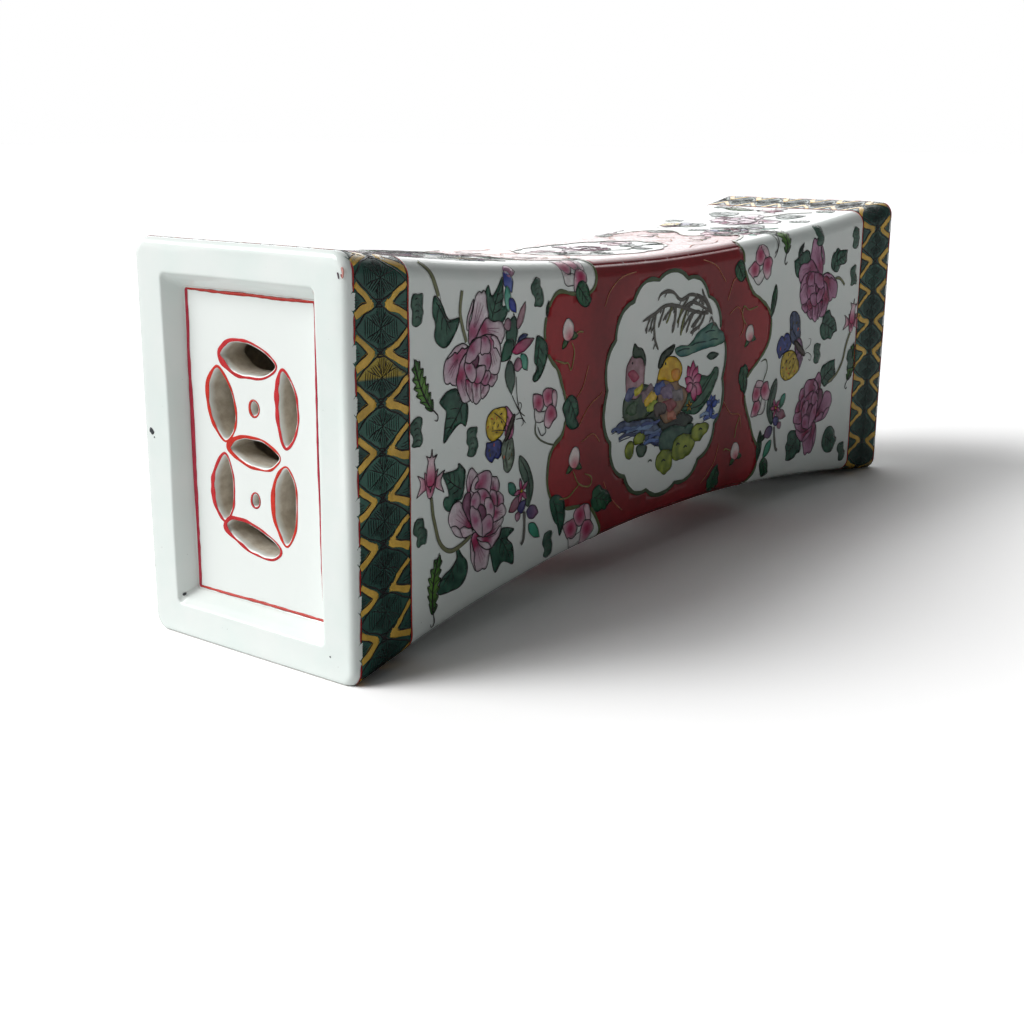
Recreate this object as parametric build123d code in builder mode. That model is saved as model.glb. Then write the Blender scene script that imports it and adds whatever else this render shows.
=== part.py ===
from build123d import *
import math
import os

# A hollow waisted porcelain pillow, built from clay slabs luted with slip and fired as one.
# All sizes are fired sizes in millimetres. +X runs along the pillow, the front face looks
# along -Y and +Z is up. The origin is on the floor under the middle of the pillow.

# Overall form
LENGTH = 380.0
WIDTH = 93.0
HEIGHT = 131.0
TOP_SAG = 13.8        # how far the top dips at mid length
FOOT_SAG = 13.8       # how far the underside rises at mid length
SIDE_SAG = 9.8        # how far the front and the back draw in at mid length
EDGE_RADIUS = 6.0     # rounding of the four long edges
END_ARRIS = 2.4       # rounding where the long faces meet the flat ends
FOOT_LAND = 8.0       # length of the flat ground under each end

# Slabs and slip
WALL = 10.0
MITRE_SLIP = 0.8      # slip between two mitred slabs
PANEL_SLIP = 0.8      # slip between an end panel and the walls

# End panels, set back in their mouths
PANEL_RECESS = 6.5
PANEL_THICKNESS = 10.0

# Double cash piercing: two touching rings of four lens vents share the middle one
CASH_RADIUS = 14.6    # from the middle of a cash to the middle of each of its vents
VENT_LENGTH = 25.0
VENT_WIDTH = 10.4
EYE_DIAMETER = 4.4    # small round hole in the middle of each cash

# Bevelled strip in the angle between a panel and the walls
STRIP_LIP_SIDE = 2.8  # thickness at the mouth, at the front and the back
STRIP_LIP_TOP = 1.0   # thickness at the mouth, at the top
STRIP_RUN_SIDE = 2.6  # further thickness gained down to the panel, front and back
STRIP_RUN_TOP = 3.8   # the same at the top and the bottom
MOUTH_CORNER = 1.5    # corner rounding of the mouth
MOUTH_ARRIS = 0.8     # bevel of the mouth's edge

# Clay coils smoothed off at 45 degrees in the inner corners
COIL_LEG = 7.0        # how far a coil spreads over each of the two walls it joins

OVERRUN = 10.0        # how far a cutting form runs past the ends

# Worked out from the sizes above
HALF_LENGTH = LENGTH / 2
MID_HEIGHT = HEIGHT / 2
PANEL_FACE = HALF_LENGTH - PANEL_RECESS
PANEL_BACK = PANEL_FACE - PANEL_THICKNESS
RIM_SIDE = WALL + STRIP_LIP_SIDE
RIM_TOP = WALL + STRIP_LIP_TOP


def arc_rise(x, sag, half_span):
    """Height at x of a long arc that rises by sag over half_span from its lowest point."""
    radius = (half_span**2 + sag**2) / (2 * sag)
    return radius - math.sqrt(radius**2 - x**2)


def top_height(x):
    """Height of the top face over its centre line."""
    return HEIGHT - TOP_SAG + arc_rise(x, TOP_SAG, HALF_LENGTH)


def foot_height(x):
    """Height of the underside, which reaches the floor where the ground feet begin."""
    return FOOT_SAG - arc_rise(x, FOOT_SAG, HALF_LENGTH - FOOT_LAND)


def half_width(x):
    """Distance of the front and the back face from the middle."""
    return WIDTH / 2 - SIDE_SAG + arc_rise(x, SIDE_SAG, HALF_LENGTH)


def waisted_form(inset, start, end):
    """The sharp edged pillow form between two places on X, drawn in by inset all round."""
    reach = HALF_LENGTH + OVERRUN
    with BuildPart() as form:
        with BuildSketch(Plane.XZ):
            with BuildLine():
                crown = ThreePointArc(
                    (-reach, top_height(reach) - inset),
                    (0, top_height(0) - inset),
                    (reach, top_height(reach) - inset),
                )
                arch = ThreePointArc(
                    (-reach, foot_height(reach) + inset),
                    (0, foot_height(0) + inset),
                    (reach, foot_height(reach) + inset),
                )
                Line(crown @ 0, arch @ 0)
                Line(crown @ 1, arch @ 1)
            make_face()
        extrude(amount=WIDTH, both=True)
        with BuildSketch(Plane.XY):
            with BuildLine():
                back = ThreePointArc(
                    (-reach, half_width(reach) - inset),
                    (0, half_width(0) - inset),
                    (reach, half_width(reach) - inset),
                )
                front = ThreePointArc(
                    (-reach, inset - half_width(reach)),
                    (0, inset - half_width(0)),
                    (reach, inset - half_width(reach)),
                )
                Line(back @ 0, front @ 0)
                Line(back @ 1, front @ 1)
            make_face()
        extrude(amount=2 * HEIGHT, both=True, mode=Mode.INTERSECT)
        with BuildSketch(Plane.YZ.offset(start)):
            Rectangle(3 * WIDTH, 3 * HEIGHT)
        extrude(amount=end - start, mode=Mode.INTERSECT)
    return form.part


def mitre_line(side_y, side_z, x):
    """Where a long corner lies at x, measured square to its own 45 degree mitre."""
    half_rise = top_height(x) - MID_HEIGHT if side_z > 0 else MID_HEIGHT - foot_height(x)
    return side_y * side_z * (half_width(x) - half_rise) / math.sqrt(2)


def mitre_form(side_y, side_z, near, far, both_ways):
    """The space between two offsets from a mitre, out from the core or both ways."""
    plane = Plane(origin=(0, 0, MID_HEIGHT), x_dir=(1, 0, 0), z_dir=(0, side_y, side_z))
    reach = HALF_LENGTH + OVERRUN
    stations = [-reach, -reach / 2, 0, reach / 2, reach]
    lines = [mitre_line(side_y, side_z, x) for x in stations]
    with BuildPart() as form:
        with BuildSketch(plane):
            with BuildLine():
                first = Spline(*[(x, line + near) for x, line in zip(stations, lines)])
                second = Spline(*[(x, line + far) for x, line in zip(stations, lines)])
                Line(first @ 0, second @ 0)
                Line(first @ 1, second @ 1)
            make_face()
        extrude(amount=WIDTH + HEIGHT, both=both_ways)
    return form.part


def level_wall_side(side_y, side_z):
    """The space on the top or bottom wall's side of a mitre, clear of half its slip."""
    hand = -side_y * side_z
    return mitre_form(side_y, side_z, hand * MITRE_SLIP / 2, hand * (WIDTH + HEIGHT), True)


def upright_wall_side(side_y, side_z):
    """The space on the front or back wall's side of a mitre, clear of half its slip."""
    hand = side_y * side_z
    return mitre_form(side_y, side_z, hand * MITRE_SLIP / 2, hand * (WIDTH + HEIGHT), True)


# The outside of the whole pillow, with its edges rounded and its feet ground flat
with BuildPart() as outside:
    add(waisted_form(0, -HALF_LENGTH, HALF_LENGTH))
    long_edges = [e for e in outside.edges() if e.bounding_box().size.X > HALF_LENGTH]
    fillet(long_edges, radius=EDGE_RADIUS)
    end_faces = [outside.faces().sort_by(Axis.X)[0], outside.faces().sort_by(Axis.X)[-1]]
    fillet([e for face in end_faces for e in face.edges()], radius=END_ARRIS)
    split(bisect_by=Plane.XY, keep=Keep.TOP)

# The four walls before they are told apart: an open ended tube
with BuildPart() as tube:
    add(outside.part)
    add(waisted_form(WALL, -HALF_LENGTH - OVERRUN, HALF_LENGTH + OVERRUN), mode=Mode.SUBTRACT)

# Walls: four slabs bowed along their length, mitred where they meet
with BuildPart() as top_wall:
    add(tube.part)
    add(level_wall_side(-1, 1), mode=Mode.INTERSECT)
    add(level_wall_side(1, 1), mode=Mode.INTERSECT)

with BuildPart() as bottom_wall:
    add(tube.part)
    add(level_wall_side(-1, -1), mode=Mode.INTERSECT)
    add(level_wall_side(1, -1), mode=Mode.INTERSECT)

with BuildPart() as front_wall:
    add(tube.part)
    add(upright_wall_side(-1, 1), mode=Mode.INTERSECT)
    add(upright_wall_side(-1, -1), mode=Mode.INTERSECT)

with BuildPart() as back_wall:
    add(tube.part)
    add(upright_wall_side(1, 1), mode=Mode.INTERSECT)
    add(upright_wall_side(1, -1), mode=Mode.INTERSECT)


def mitre_slip(side_y, side_z):
    """The layer of slip that fills one long mitre."""
    with BuildPart() as slip:
        add(tube.part)
        add(
            mitre_form(side_y, side_z, -MITRE_SLIP / 2, MITRE_SLIP / 2, False),
            mode=Mode.INTERSECT,
        )
    return slip.part


# Slip seams along the four long corners
with BuildPart() as top_front_seam:
    add(mitre_slip(-1, 1))

with BuildPart() as top_back_seam:
    add(mitre_slip(1, 1))

with BuildPart() as bottom_front_seam:
    add(mitre_slip(-1, -1))

with BuildPart() as bottom_back_seam:
    add(mitre_slip(1, -1))


# One lens vent, lying along its own x axis
with BuildSketch() as lens:
    with BuildLine():
        ThreePointArc((-VENT_LENGTH / 2, 0), (0, VENT_WIDTH / 2), (VENT_LENGTH / 2, 0))
        ThreePointArc((VENT_LENGTH / 2, 0), (0, -VENT_WIDTH / 2), (-VENT_LENGTH / 2, 0))
    make_face()

# Left end panel: a plug that tapers with the walls, pierced with the double cash
with BuildPart() as left_panel:
    add(waisted_form(WALL + PANEL_SLIP, -PANEL_FACE, -PANEL_BACK))
    panel_front = Plane(origin=(-PANEL_FACE, 0, MID_HEIGHT), x_dir=(0, -1, 0), z_dir=(-1, 0, 0))
    with BuildSketch(panel_front):
        with GridLocations(1, 2 * CASH_RADIUS, 1, 3):
            add(lens.sketch)
        with GridLocations(2 * CASH_RADIUS, 2 * CASH_RADIUS, 2, 2):
            add(lens.sketch, rotation=90)
        with GridLocations(1, 2 * CASH_RADIUS, 1, 2):
            Circle(EYE_DIAMETER / 2)
    extrude(amount=-PANEL_THICKNESS, mode=Mode.SUBTRACT)

# Slip ring between the left panel and the walls
with BuildPart() as left_panel_seam:
    add(waisted_form(WALL, -PANEL_FACE, -PANEL_BACK))
    add(waisted_form(WALL + PANEL_SLIP, -PANEL_FACE, -PANEL_BACK), mode=Mode.SUBTRACT)

# Bevelled strip round the left mouth, flush with the end of the walls
with BuildPart() as left_mouth_strip:
    add(waisted_form(WALL, -HALF_LENGTH, -PANEL_FACE))
    mouth_width = WIDTH - 2 * RIM_SIDE
    mouth_height = HEIGHT - 2 * RIM_TOP
    with BuildSketch(Plane.YZ.offset(-HALF_LENGTH)):
        with Locations((0, MID_HEIGHT)):
            RectangleRounded(mouth_width, mouth_height, MOUTH_CORNER)
    with BuildSketch(Plane.YZ.offset(-PANEL_FACE)):
        with Locations((0, MID_HEIGHT)):
            RectangleRounded(
                mouth_width - 2 * STRIP_RUN_SIDE, mouth_height - 2 * STRIP_RUN_TOP, MOUTH_CORNER
            )
    loft(mode=Mode.SUBTRACT)
    rim = left_mouth_strip.faces().sort_by(Axis.X)[0]
    chamfer([e for wire in rim.inner_wires() for e in wire.edges()], length=MOUTH_ARRIS)

def corner_bevel(side_y, side_z):
    """Everything on the core's side of the flat face smoothed along one long inner corner."""
    plane = Plane(origin=(0, 0, MID_HEIGHT), x_dir=(1, 0, 0), z_dir=(0, -side_z, side_y))
    reach = HALF_LENGTH + OVERRUN
    depth = -(WIDTH + HEIGHT)
    face_line = []
    for x in (-reach, -reach / 2, 0, reach / 2, reach):
        half_rise = top_height(x) - MID_HEIGHT if side_z > 0 else MID_HEIGHT - foot_height(x)
        face_line.append((x, (half_width(x) + half_rise - 2 * WALL - COIL_LEG) / math.sqrt(2)))
    with BuildPart() as form:
        with BuildSketch(plane):
            with BuildLine():
                face = Spline(*face_line)
                Polyline(face @ 0, (-reach, depth), (reach, depth), face @ 1)
            make_face()
        extrude(amount=WIDTH + HEIGHT, both=True)
    return form.part


# The hollow that the coils leave: its ends taper to the panels and its long corners are cut off
with BuildPart() as smoothed_hollow:
    taper_start = PANEL_BACK - COIL_LEG
    add(waisted_form(WALL, -taper_start, taper_start))
    for x, inset in ((taper_start, WALL), (PANEL_BACK, WALL + COIL_LEG)):
        with BuildSketch(Plane.YZ.offset(x)):
            with Locations((0, (top_height(x) + foot_height(x)) / 2)):
                Rectangle(
                    2 * (half_width(x) - inset), top_height(x) - foot_height(x) - 2 * inset
                )
    loft()
    mirror(about=Plane.YZ)
    for side_y, side_z in ((-1, 1), (1, 1), (-1, -1), (1, -1)):
        add(corner_bevel(side_y, side_z), mode=Mode.INTERSECT)


def corner_clay(start, end, side_y, side_z):
    """Clay in the hollow's corners between two places on X, on one side of each given middle."""
    with BuildPart() as clay:
        add(waisted_form(WALL, start, end))
        add(smoothed_hollow.part, mode=Mode.SUBTRACT)
        if side_y:
            split(bisect_by=Plane.XZ, keep=Keep.TOP if side_y < 0 else Keep.BOTTOM)
        if side_z:
            level = Plane.XY.offset(MID_HEIGHT)
            split(bisect_by=level, keep=Keep.TOP if side_z > 0 else Keep.BOTTOM)
    return clay.part


# Coil smoothed in behind the left panel
with BuildPart() as left_panel_coil:
    add(corner_clay(-PANEL_BACK, -taper_start, 0, 0))

# Coils along the four long inner corners, between the two panel coils
with BuildPart() as top_front_coil:
    add(corner_clay(-taper_start, taper_start, -1, 1))

with BuildPart() as top_back_coil:
    add(corner_clay(-taper_start, taper_start, 1, 1))

with BuildPart() as bottom_front_coil:
    add(corner_clay(-taper_start, taper_start, -1, -1))

with BuildPart() as bottom_back_coil:
    add(corner_clay(-taper_start, taper_start, 1, -1))

# The right end is the left end mirrored
with BuildPart() as right_panel:
    mirror(left_panel.part, about=Plane.YZ)

with BuildPart() as right_panel_seam:
    mirror(left_panel_seam.part, about=Plane.YZ)

with BuildPart() as right_mouth_strip:
    mirror(left_mouth_strip.part, about=Plane.YZ)

with BuildPart() as right_panel_coil:
    mirror(left_panel_coil.part, about=Plane.YZ)

# One STEP file for each piece, named after it
pieces = {
    "top_wall": top_wall,
    "bottom_wall": bottom_wall,
    "front_wall": front_wall,
    "back_wall": back_wall,
    "top_front_seam": top_front_seam,
    "top_back_seam": top_back_seam,
    "bottom_front_seam": bottom_front_seam,
    "bottom_back_seam": bottom_back_seam,
    "left_panel": left_panel,
    "right_panel": right_panel,
    "left_panel_seam": left_panel_seam,
    "right_panel_seam": right_panel_seam,
    "left_mouth_strip": left_mouth_strip,
    "right_mouth_strip": right_mouth_strip,
    "left_panel_coil": left_panel_coil,
    "right_panel_coil": right_panel_coil,
    "top_front_coil": top_front_coil,
    "top_back_coil": top_back_coil,
    "bottom_front_coil": bottom_front_coil,
    "bottom_back_coil": bottom_back_coil,
}
os.makedirs("parts", exist_ok=True)
for name, piece in pieces.items():
    piece.part.label = name
    export_step(piece.part, f"parts/{name}.step")
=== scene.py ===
import math

import bpy
import numpy as np
from bpy.props import FloatProperty, FloatVectorProperty, IntProperty, PointerProperty
from mathutils import Matrix, Vector, noise
from mathutils.geometry import delaunay_2d_cdt


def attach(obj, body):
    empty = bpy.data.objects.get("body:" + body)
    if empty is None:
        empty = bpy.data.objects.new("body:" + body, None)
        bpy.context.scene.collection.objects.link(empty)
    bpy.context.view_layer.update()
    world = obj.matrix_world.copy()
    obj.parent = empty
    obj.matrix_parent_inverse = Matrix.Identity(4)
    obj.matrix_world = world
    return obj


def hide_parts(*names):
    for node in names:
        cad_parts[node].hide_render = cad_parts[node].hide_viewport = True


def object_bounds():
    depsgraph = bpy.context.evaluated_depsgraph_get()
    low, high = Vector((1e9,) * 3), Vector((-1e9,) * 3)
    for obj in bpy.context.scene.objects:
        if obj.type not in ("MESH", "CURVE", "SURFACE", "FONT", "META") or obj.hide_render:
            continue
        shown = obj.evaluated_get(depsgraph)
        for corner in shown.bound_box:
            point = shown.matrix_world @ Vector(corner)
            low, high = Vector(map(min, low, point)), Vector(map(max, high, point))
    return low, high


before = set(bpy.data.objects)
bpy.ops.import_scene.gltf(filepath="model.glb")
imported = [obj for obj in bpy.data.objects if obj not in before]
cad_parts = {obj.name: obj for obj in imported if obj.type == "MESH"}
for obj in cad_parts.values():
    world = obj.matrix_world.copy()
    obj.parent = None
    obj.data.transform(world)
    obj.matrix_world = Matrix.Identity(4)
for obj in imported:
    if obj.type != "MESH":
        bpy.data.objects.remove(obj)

bl_info = {
    "name": "Painted porcelain pillow",
    "version": (1, 0, 0),
    "blender": (4, 5, 0),
    "location": "3D View > Sidebar > Pillow",
    "description": "Glazes a waisted porcelain pillow and paints it in overglaze enamels",
    "category": "Add Mesh",
}

# All sizes are in millimetres and become metres when a mesh is made.
CAD_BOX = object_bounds()
HALF_LENGTH = CAD_BOX[1].x * 1000
MID_HEIGHT = 65.5
FACES = ("front", "top", "back", "bottom")
MM = 0.001

# Heights of the enamels over the glaze: each level lies over the lines of the one below it
FIRST_LEVEL = 0.05
LEVEL_STEP = 0.05


def linear(colour):
    """A colour written as it looks, 0 to 255, in the linear values that Blender mixes."""
    c = np.asarray(colour, float) / 255
    return np.where(c <= 0.04045, c / 12.92, ((c + 0.055) / 1.055) ** 2.4)


# ---------------------------------------------------------------- sizes and colours


class PillowForm(bpy.types.PropertyGroup):
    top_sag: FloatProperty(name="Top sag", description="How far the top dips at mid length, mm", default=13.8)
    foot_sag: FloatProperty(name="Foot sag", description="How far the underside rises at mid length, mm", default=13.8)
    side_sag: FloatProperty(name="Side sag", description="How far the front and back draw in, mm", default=9.8)
    edge_radius: FloatProperty(name="Edge radius", description="Rounding of the long edges, mm", default=6.0)
    end_arris: FloatProperty(name="End arris", description="Rounding round the end faces, mm", default=2.4)
    foot_land: FloatProperty(name="Foot land", description="Length of the flat under each end, mm", default=8.0)
    glaze: FloatProperty(name="Glaze", description="Thickness of the glaze over the body, mm", default=0.3)
    unevenness: FloatProperty(name="Unevenness", description="How far the hand-built faces wander, mm", default=0.16)


class PillowColours(bpy.types.PropertyGroup):
    glaze: FloatVectorProperty(
        name="Glaze", description="Cool white of the glazed porcelain", subtype="COLOR",
        default=tuple(linear((239, 244, 241))),
    )
    biscuit: FloatVectorProperty(
        name="Biscuit", description="Unglazed porcelain of the feet and the inside", subtype="COLOR",
        default=tuple(linear((196, 184, 163))),
    )
    floor: FloatVectorProperty(
        name="Floor", description="Plain pale studio floor", subtype="COLOR", default=(0.9, 0.9, 0.9)
    )


# Pigments as they look on the fired glaze
INK = (38, 30, 34)
DARK_TEAL = (38, 76, 68)
TEAL = (60, 108, 94)
OCHRE = (224, 182, 80)
IRON_RED = (203, 52, 40)
RUBY_GROUND = (128, 30, 35)
OLIVE = (88, 100, 60)
PETAL = (205, 177, 191)
PETAL_EDGE = (222, 212, 218)
CRIMSON = (156, 38, 82)
MAUVE = (172, 124, 152)
LEAF = (32, 70, 58)
LEAF_LIGHT = (64, 112, 92)
LIME = (128, 170, 60)
STEM = (120, 124, 92)
GOLD = (196, 150, 72)
BLUE = (44, 62, 142)
VIOLET = (120, 74, 120)
YELLOW = (230, 190, 30)
TURQUOISE = (60, 150, 130)

# ---------------------------------------------------------------- the body's surface


def rise(x, sag, half_span):
    """Height at x of a long arc that rises by sag over half_span from its lowest point."""
    radius = (half_span**2 + sag**2) / (2 * sag)
    return radius - np.sqrt(radius**2 - x**2)


def section(x):
    """The body's half width, top, underside and edge radius at x."""
    form = bpy.context.scene.pillow_form
    arris = form.end_arris
    past = np.clip(np.abs(x) - (HALF_LENGTH - arris), 0, arris)
    cut = arris - np.sqrt(arris**2 - past**2)
    side = 46.5 - form.side_sag + rise(x, form.side_sag, HALF_LENGTH) - cut
    top = 131.0 - form.top_sag + rise(x, form.top_sag, HALF_LENGTH) - cut
    foot = form.foot_sag - rise(x, form.foot_sag, HALF_LENGTH - form.foot_land) + cut
    return side, top, foot, form.edge_radius - cut


def wander(x, y, z):
    """Gentle unevenness of a hand-built body, in mm along its normal."""
    return bpy.context.scene.pillow_form.unevenness * (
        0.5 * np.sin(x / 17 + 1.1) * np.cos(z / 21 + y / 26)
        + 0.3 * np.sin(x / 9.5 - z / 14 + 0.7)
        + 0.3 * np.cos(y / 12 + z / 16 - x / 31)
    )


def lengths(x):
    """Lengths round the section at x: up and down the front from its middle, half the top, one rounded edge."""
    side, top, foot, r = section(x)
    return top - r - MID_HEIGHT, MID_HEIGHT - foot - r, side - r, math.pi / 2 * r


def girth(x):
    """Distance once round the body at x."""
    up, down, across, edge = lengths(x)
    return 2 * (up + down) + 4 * across + 4 * edge


def on_body(x, p, lift):
    """Points on the glaze: x along the body, p round it from the front's middle, lift above the glaze."""
    x, p, lift = np.broadcast_arrays(*(np.asarray(a, float) for a in (x, p, lift)))
    points = loose_body(x.ravel(), p.ravel(), lift.ravel())
    points[:, 2] = np.maximum(points[:, 2], 0.15)
    return points.reshape(x.shape + (3,))


def round_body(face, u, v):
    """A face's own u and v, as seen from outside it, as x along the body and p round it."""
    u, v = np.asarray(u, float), np.asarray(v, float)
    x = -u if face == "back" else u
    up, down, across, edge = lengths(x)
    if face == "front":
        return x, v
    if face == "top":
        return x, up + edge + across + v
    if face == "back":
        return x, 2 * (up + edge + across) - v
    return x, v - (down + edge + across)


def on_face(face, u, v, lift):
    x, p = round_body(face, u, v)
    return on_body(x, p, lift)


# ---------------------------------------------------------------- meshes


def solid(name, points, triangles, smooth=None, colours=None):
    """A mesh object at the origin from points in mm."""
    mesh = bpy.data.meshes.new(name)
    points = np.asarray(points, float) * MM
    triangles = np.asarray(triangles, int)
    mesh.vertices.add(len(points))
    mesh.vertices.foreach_set("co", points.astype(np.float32).ravel())
    mesh.loops.add(triangles.size)
    mesh.loops.foreach_set("vertex_index", triangles.astype(np.int32).ravel())
    mesh.polygons.add(len(triangles))
    mesh.polygons.foreach_set("loop_start", np.arange(0, triangles.size, 3, dtype=np.int32))
    if smooth is None:
        smooth = np.ones(len(triangles), bool)
    mesh.polygons.foreach_set("use_smooth", np.asarray(smooth, bool))
    mesh.update(calc_edges=True)
    if colours is not None:
        attribute = mesh.color_attributes.new("pigment", "FLOAT_COLOR", "POINT")
        rgba = np.ones((len(points), 4), np.float32)
        rgba[:, :3] = colours
        attribute.data.foreach_set("color", rgba.ravel())
    mesh.validate()
    obj = bpy.data.objects.new(name, mesh)
    bpy.context.scene.collection.objects.link(obj)
    return obj


def grid_faces(rows, columns, closed_rows=False, closed_columns=False):
    """Triangles of a grid of points, counted row by row."""
    i = np.arange(rows if closed_rows else rows - 1)[:, None]
    j = np.arange(columns if closed_columns else columns - 1)[None, :]
    a = i * columns + j
    b = i * columns + (j + 1) % columns
    c = ((i + 1) % rows) * columns + (j + 1) % columns
    d = ((i + 1) % rows) * columns + j
    a, b, c, d = (k.ravel() for k in np.broadcast_arrays(a, b, c, d))
    return np.vstack([np.stack([a, b, c], 1), np.stack([a, c, d], 1)])


def finish_piece(obj, material):
    obj.data.materials.append(material)
    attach(obj, "root")
    return obj


def inside(points, ring):
    """Which points lie inside a closed ring."""
    x, y = points[:, 0][:, None], points[:, 1][:, None]
    x1, y1 = ring[:, 0][None, :], ring[:, 1][None, :]
    x2, y2 = np.roll(ring[:, 0], -1)[None, :], np.roll(ring[:, 1], -1)[None, :]
    crosses = (y1 > y) != (y2 > y)
    with np.errstate(divide="ignore", invalid="ignore"):
        at = (x2 - x1) * (y - y1) / (y2 - y1) + x1
    return (np.sum(crosses & (x < at), axis=1) % 2) == 1


def near(points, ring, reach):
    gap = np.hypot(points[:, 0][:, None] - ring[:, 0][None, :], points[:, 1][:, None] - ring[:, 1][None, :])
    return gap.min(axis=1) < reach


def tile(rings, inner):
    """Triangles that fill the first ring and leave out the others, with inner points added."""
    points = np.vstack([*rings, inner]) if len(inner) else np.vstack(rings)
    edges, start = [], 0
    for ring in rings:
        n = len(ring)
        edges += [(start + i, start + (i + 1) % n) for i in range(n)]
        start += n
    made = delaunay_2d_cdt([Vector(p) for p in points], edges, [], 0, 1e-5)
    flat = np.array([tuple(v) for v in made[0]], float)
    faces = np.array([f for f in made[2] if len(f) == 3], int)
    middles = flat[faces].mean(axis=1)
    keep = inside(middles, rings[0])
    for hole in rings[1:]:
        keep &= ~inside(middles, hole)
    faces = faces[keep]
    a, b, c = flat[faces[:, 0]], flat[faces[:, 1]], flat[faces[:, 2]]
    area = (b[:, 0] - a[:, 0]) * (c[:, 1] - a[:, 1]) - (b[:, 1] - a[:, 1]) * (c[:, 0] - a[:, 0])
    faces = np.where((area < 0)[:, None], faces[:, ::-1], faces)
    faces = faces[np.abs(area) > 1e-7]
    used = np.unique(faces)
    back = np.full(len(flat), -1)
    back[used] = np.arange(len(used))
    return flat[used], back[faces]


def rim_edges(faces):
    """Edges that only one triangle uses, in that triangle's direction."""
    e = np.vstack([faces[:, [0, 1]], faces[:, [1, 2]], faces[:, [2, 0]]])
    key = np.sort(e, axis=1)
    _, index, count = np.unique(key, axis=0, return_inverse=True, return_counts=True)
    return e[count[index.ravel()] == 1]


def run(points, closed=False, step=0.8):
    """A smooth line through points, resampled at even steps. A point given twice is a corner."""
    p = np.asarray(points, float)
    n = len(p)
    spans = n if closed else n - 1
    out = []
    for i in range(spans):
        if closed:
            a, b, c, d = p[(i - 1) % n], p[i], p[(i + 1) % n], p[(i + 2) % n]
        else:
            a, b, c, d = p[max(i - 1, 0)], p[i], p[i + 1], p[min(i + 2, n - 1)]
        if np.allclose(b, c):
            continue
        count = max(2, int(math.ceil(np.hypot(*(c - b)) / step * 1.3)))
        t = (np.arange(count) / count)[:, None]
        out.append(
            0.5 * (2 * b + (c - a) * t + (2 * a - 5 * b + 4 * c - d) * t**2 + (3 * b - a - 3 * c + d) * t**3)
        )
    if not closed:
        out.append(p[-1:])
    return np.vstack(out)


def hand(points, seed, reach=0.25, over=9.0):
    """Points moved as an unsteady hand moves them."""
    p = np.array(points, float)
    move = np.array([noise.noise_vector(Vector((a / over + seed * 7.3, b / over, seed * 1.7))) for a, b in p])
    return p + move[:, :2] * reach


def placed(points, at, turn=0.0, size=1.0, flip=False):
    """Points of a motif turned by degrees, sized and moved to its place."""
    p = np.array(points, float) * size
    if flip:
        p[:, 0] = -p[:, 0]
    c, s = math.cos(math.radians(turn)), math.sin(math.radians(turn))
    return p @ np.array([[c, s], [-s, c]]) + np.asarray(at, float)


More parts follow.
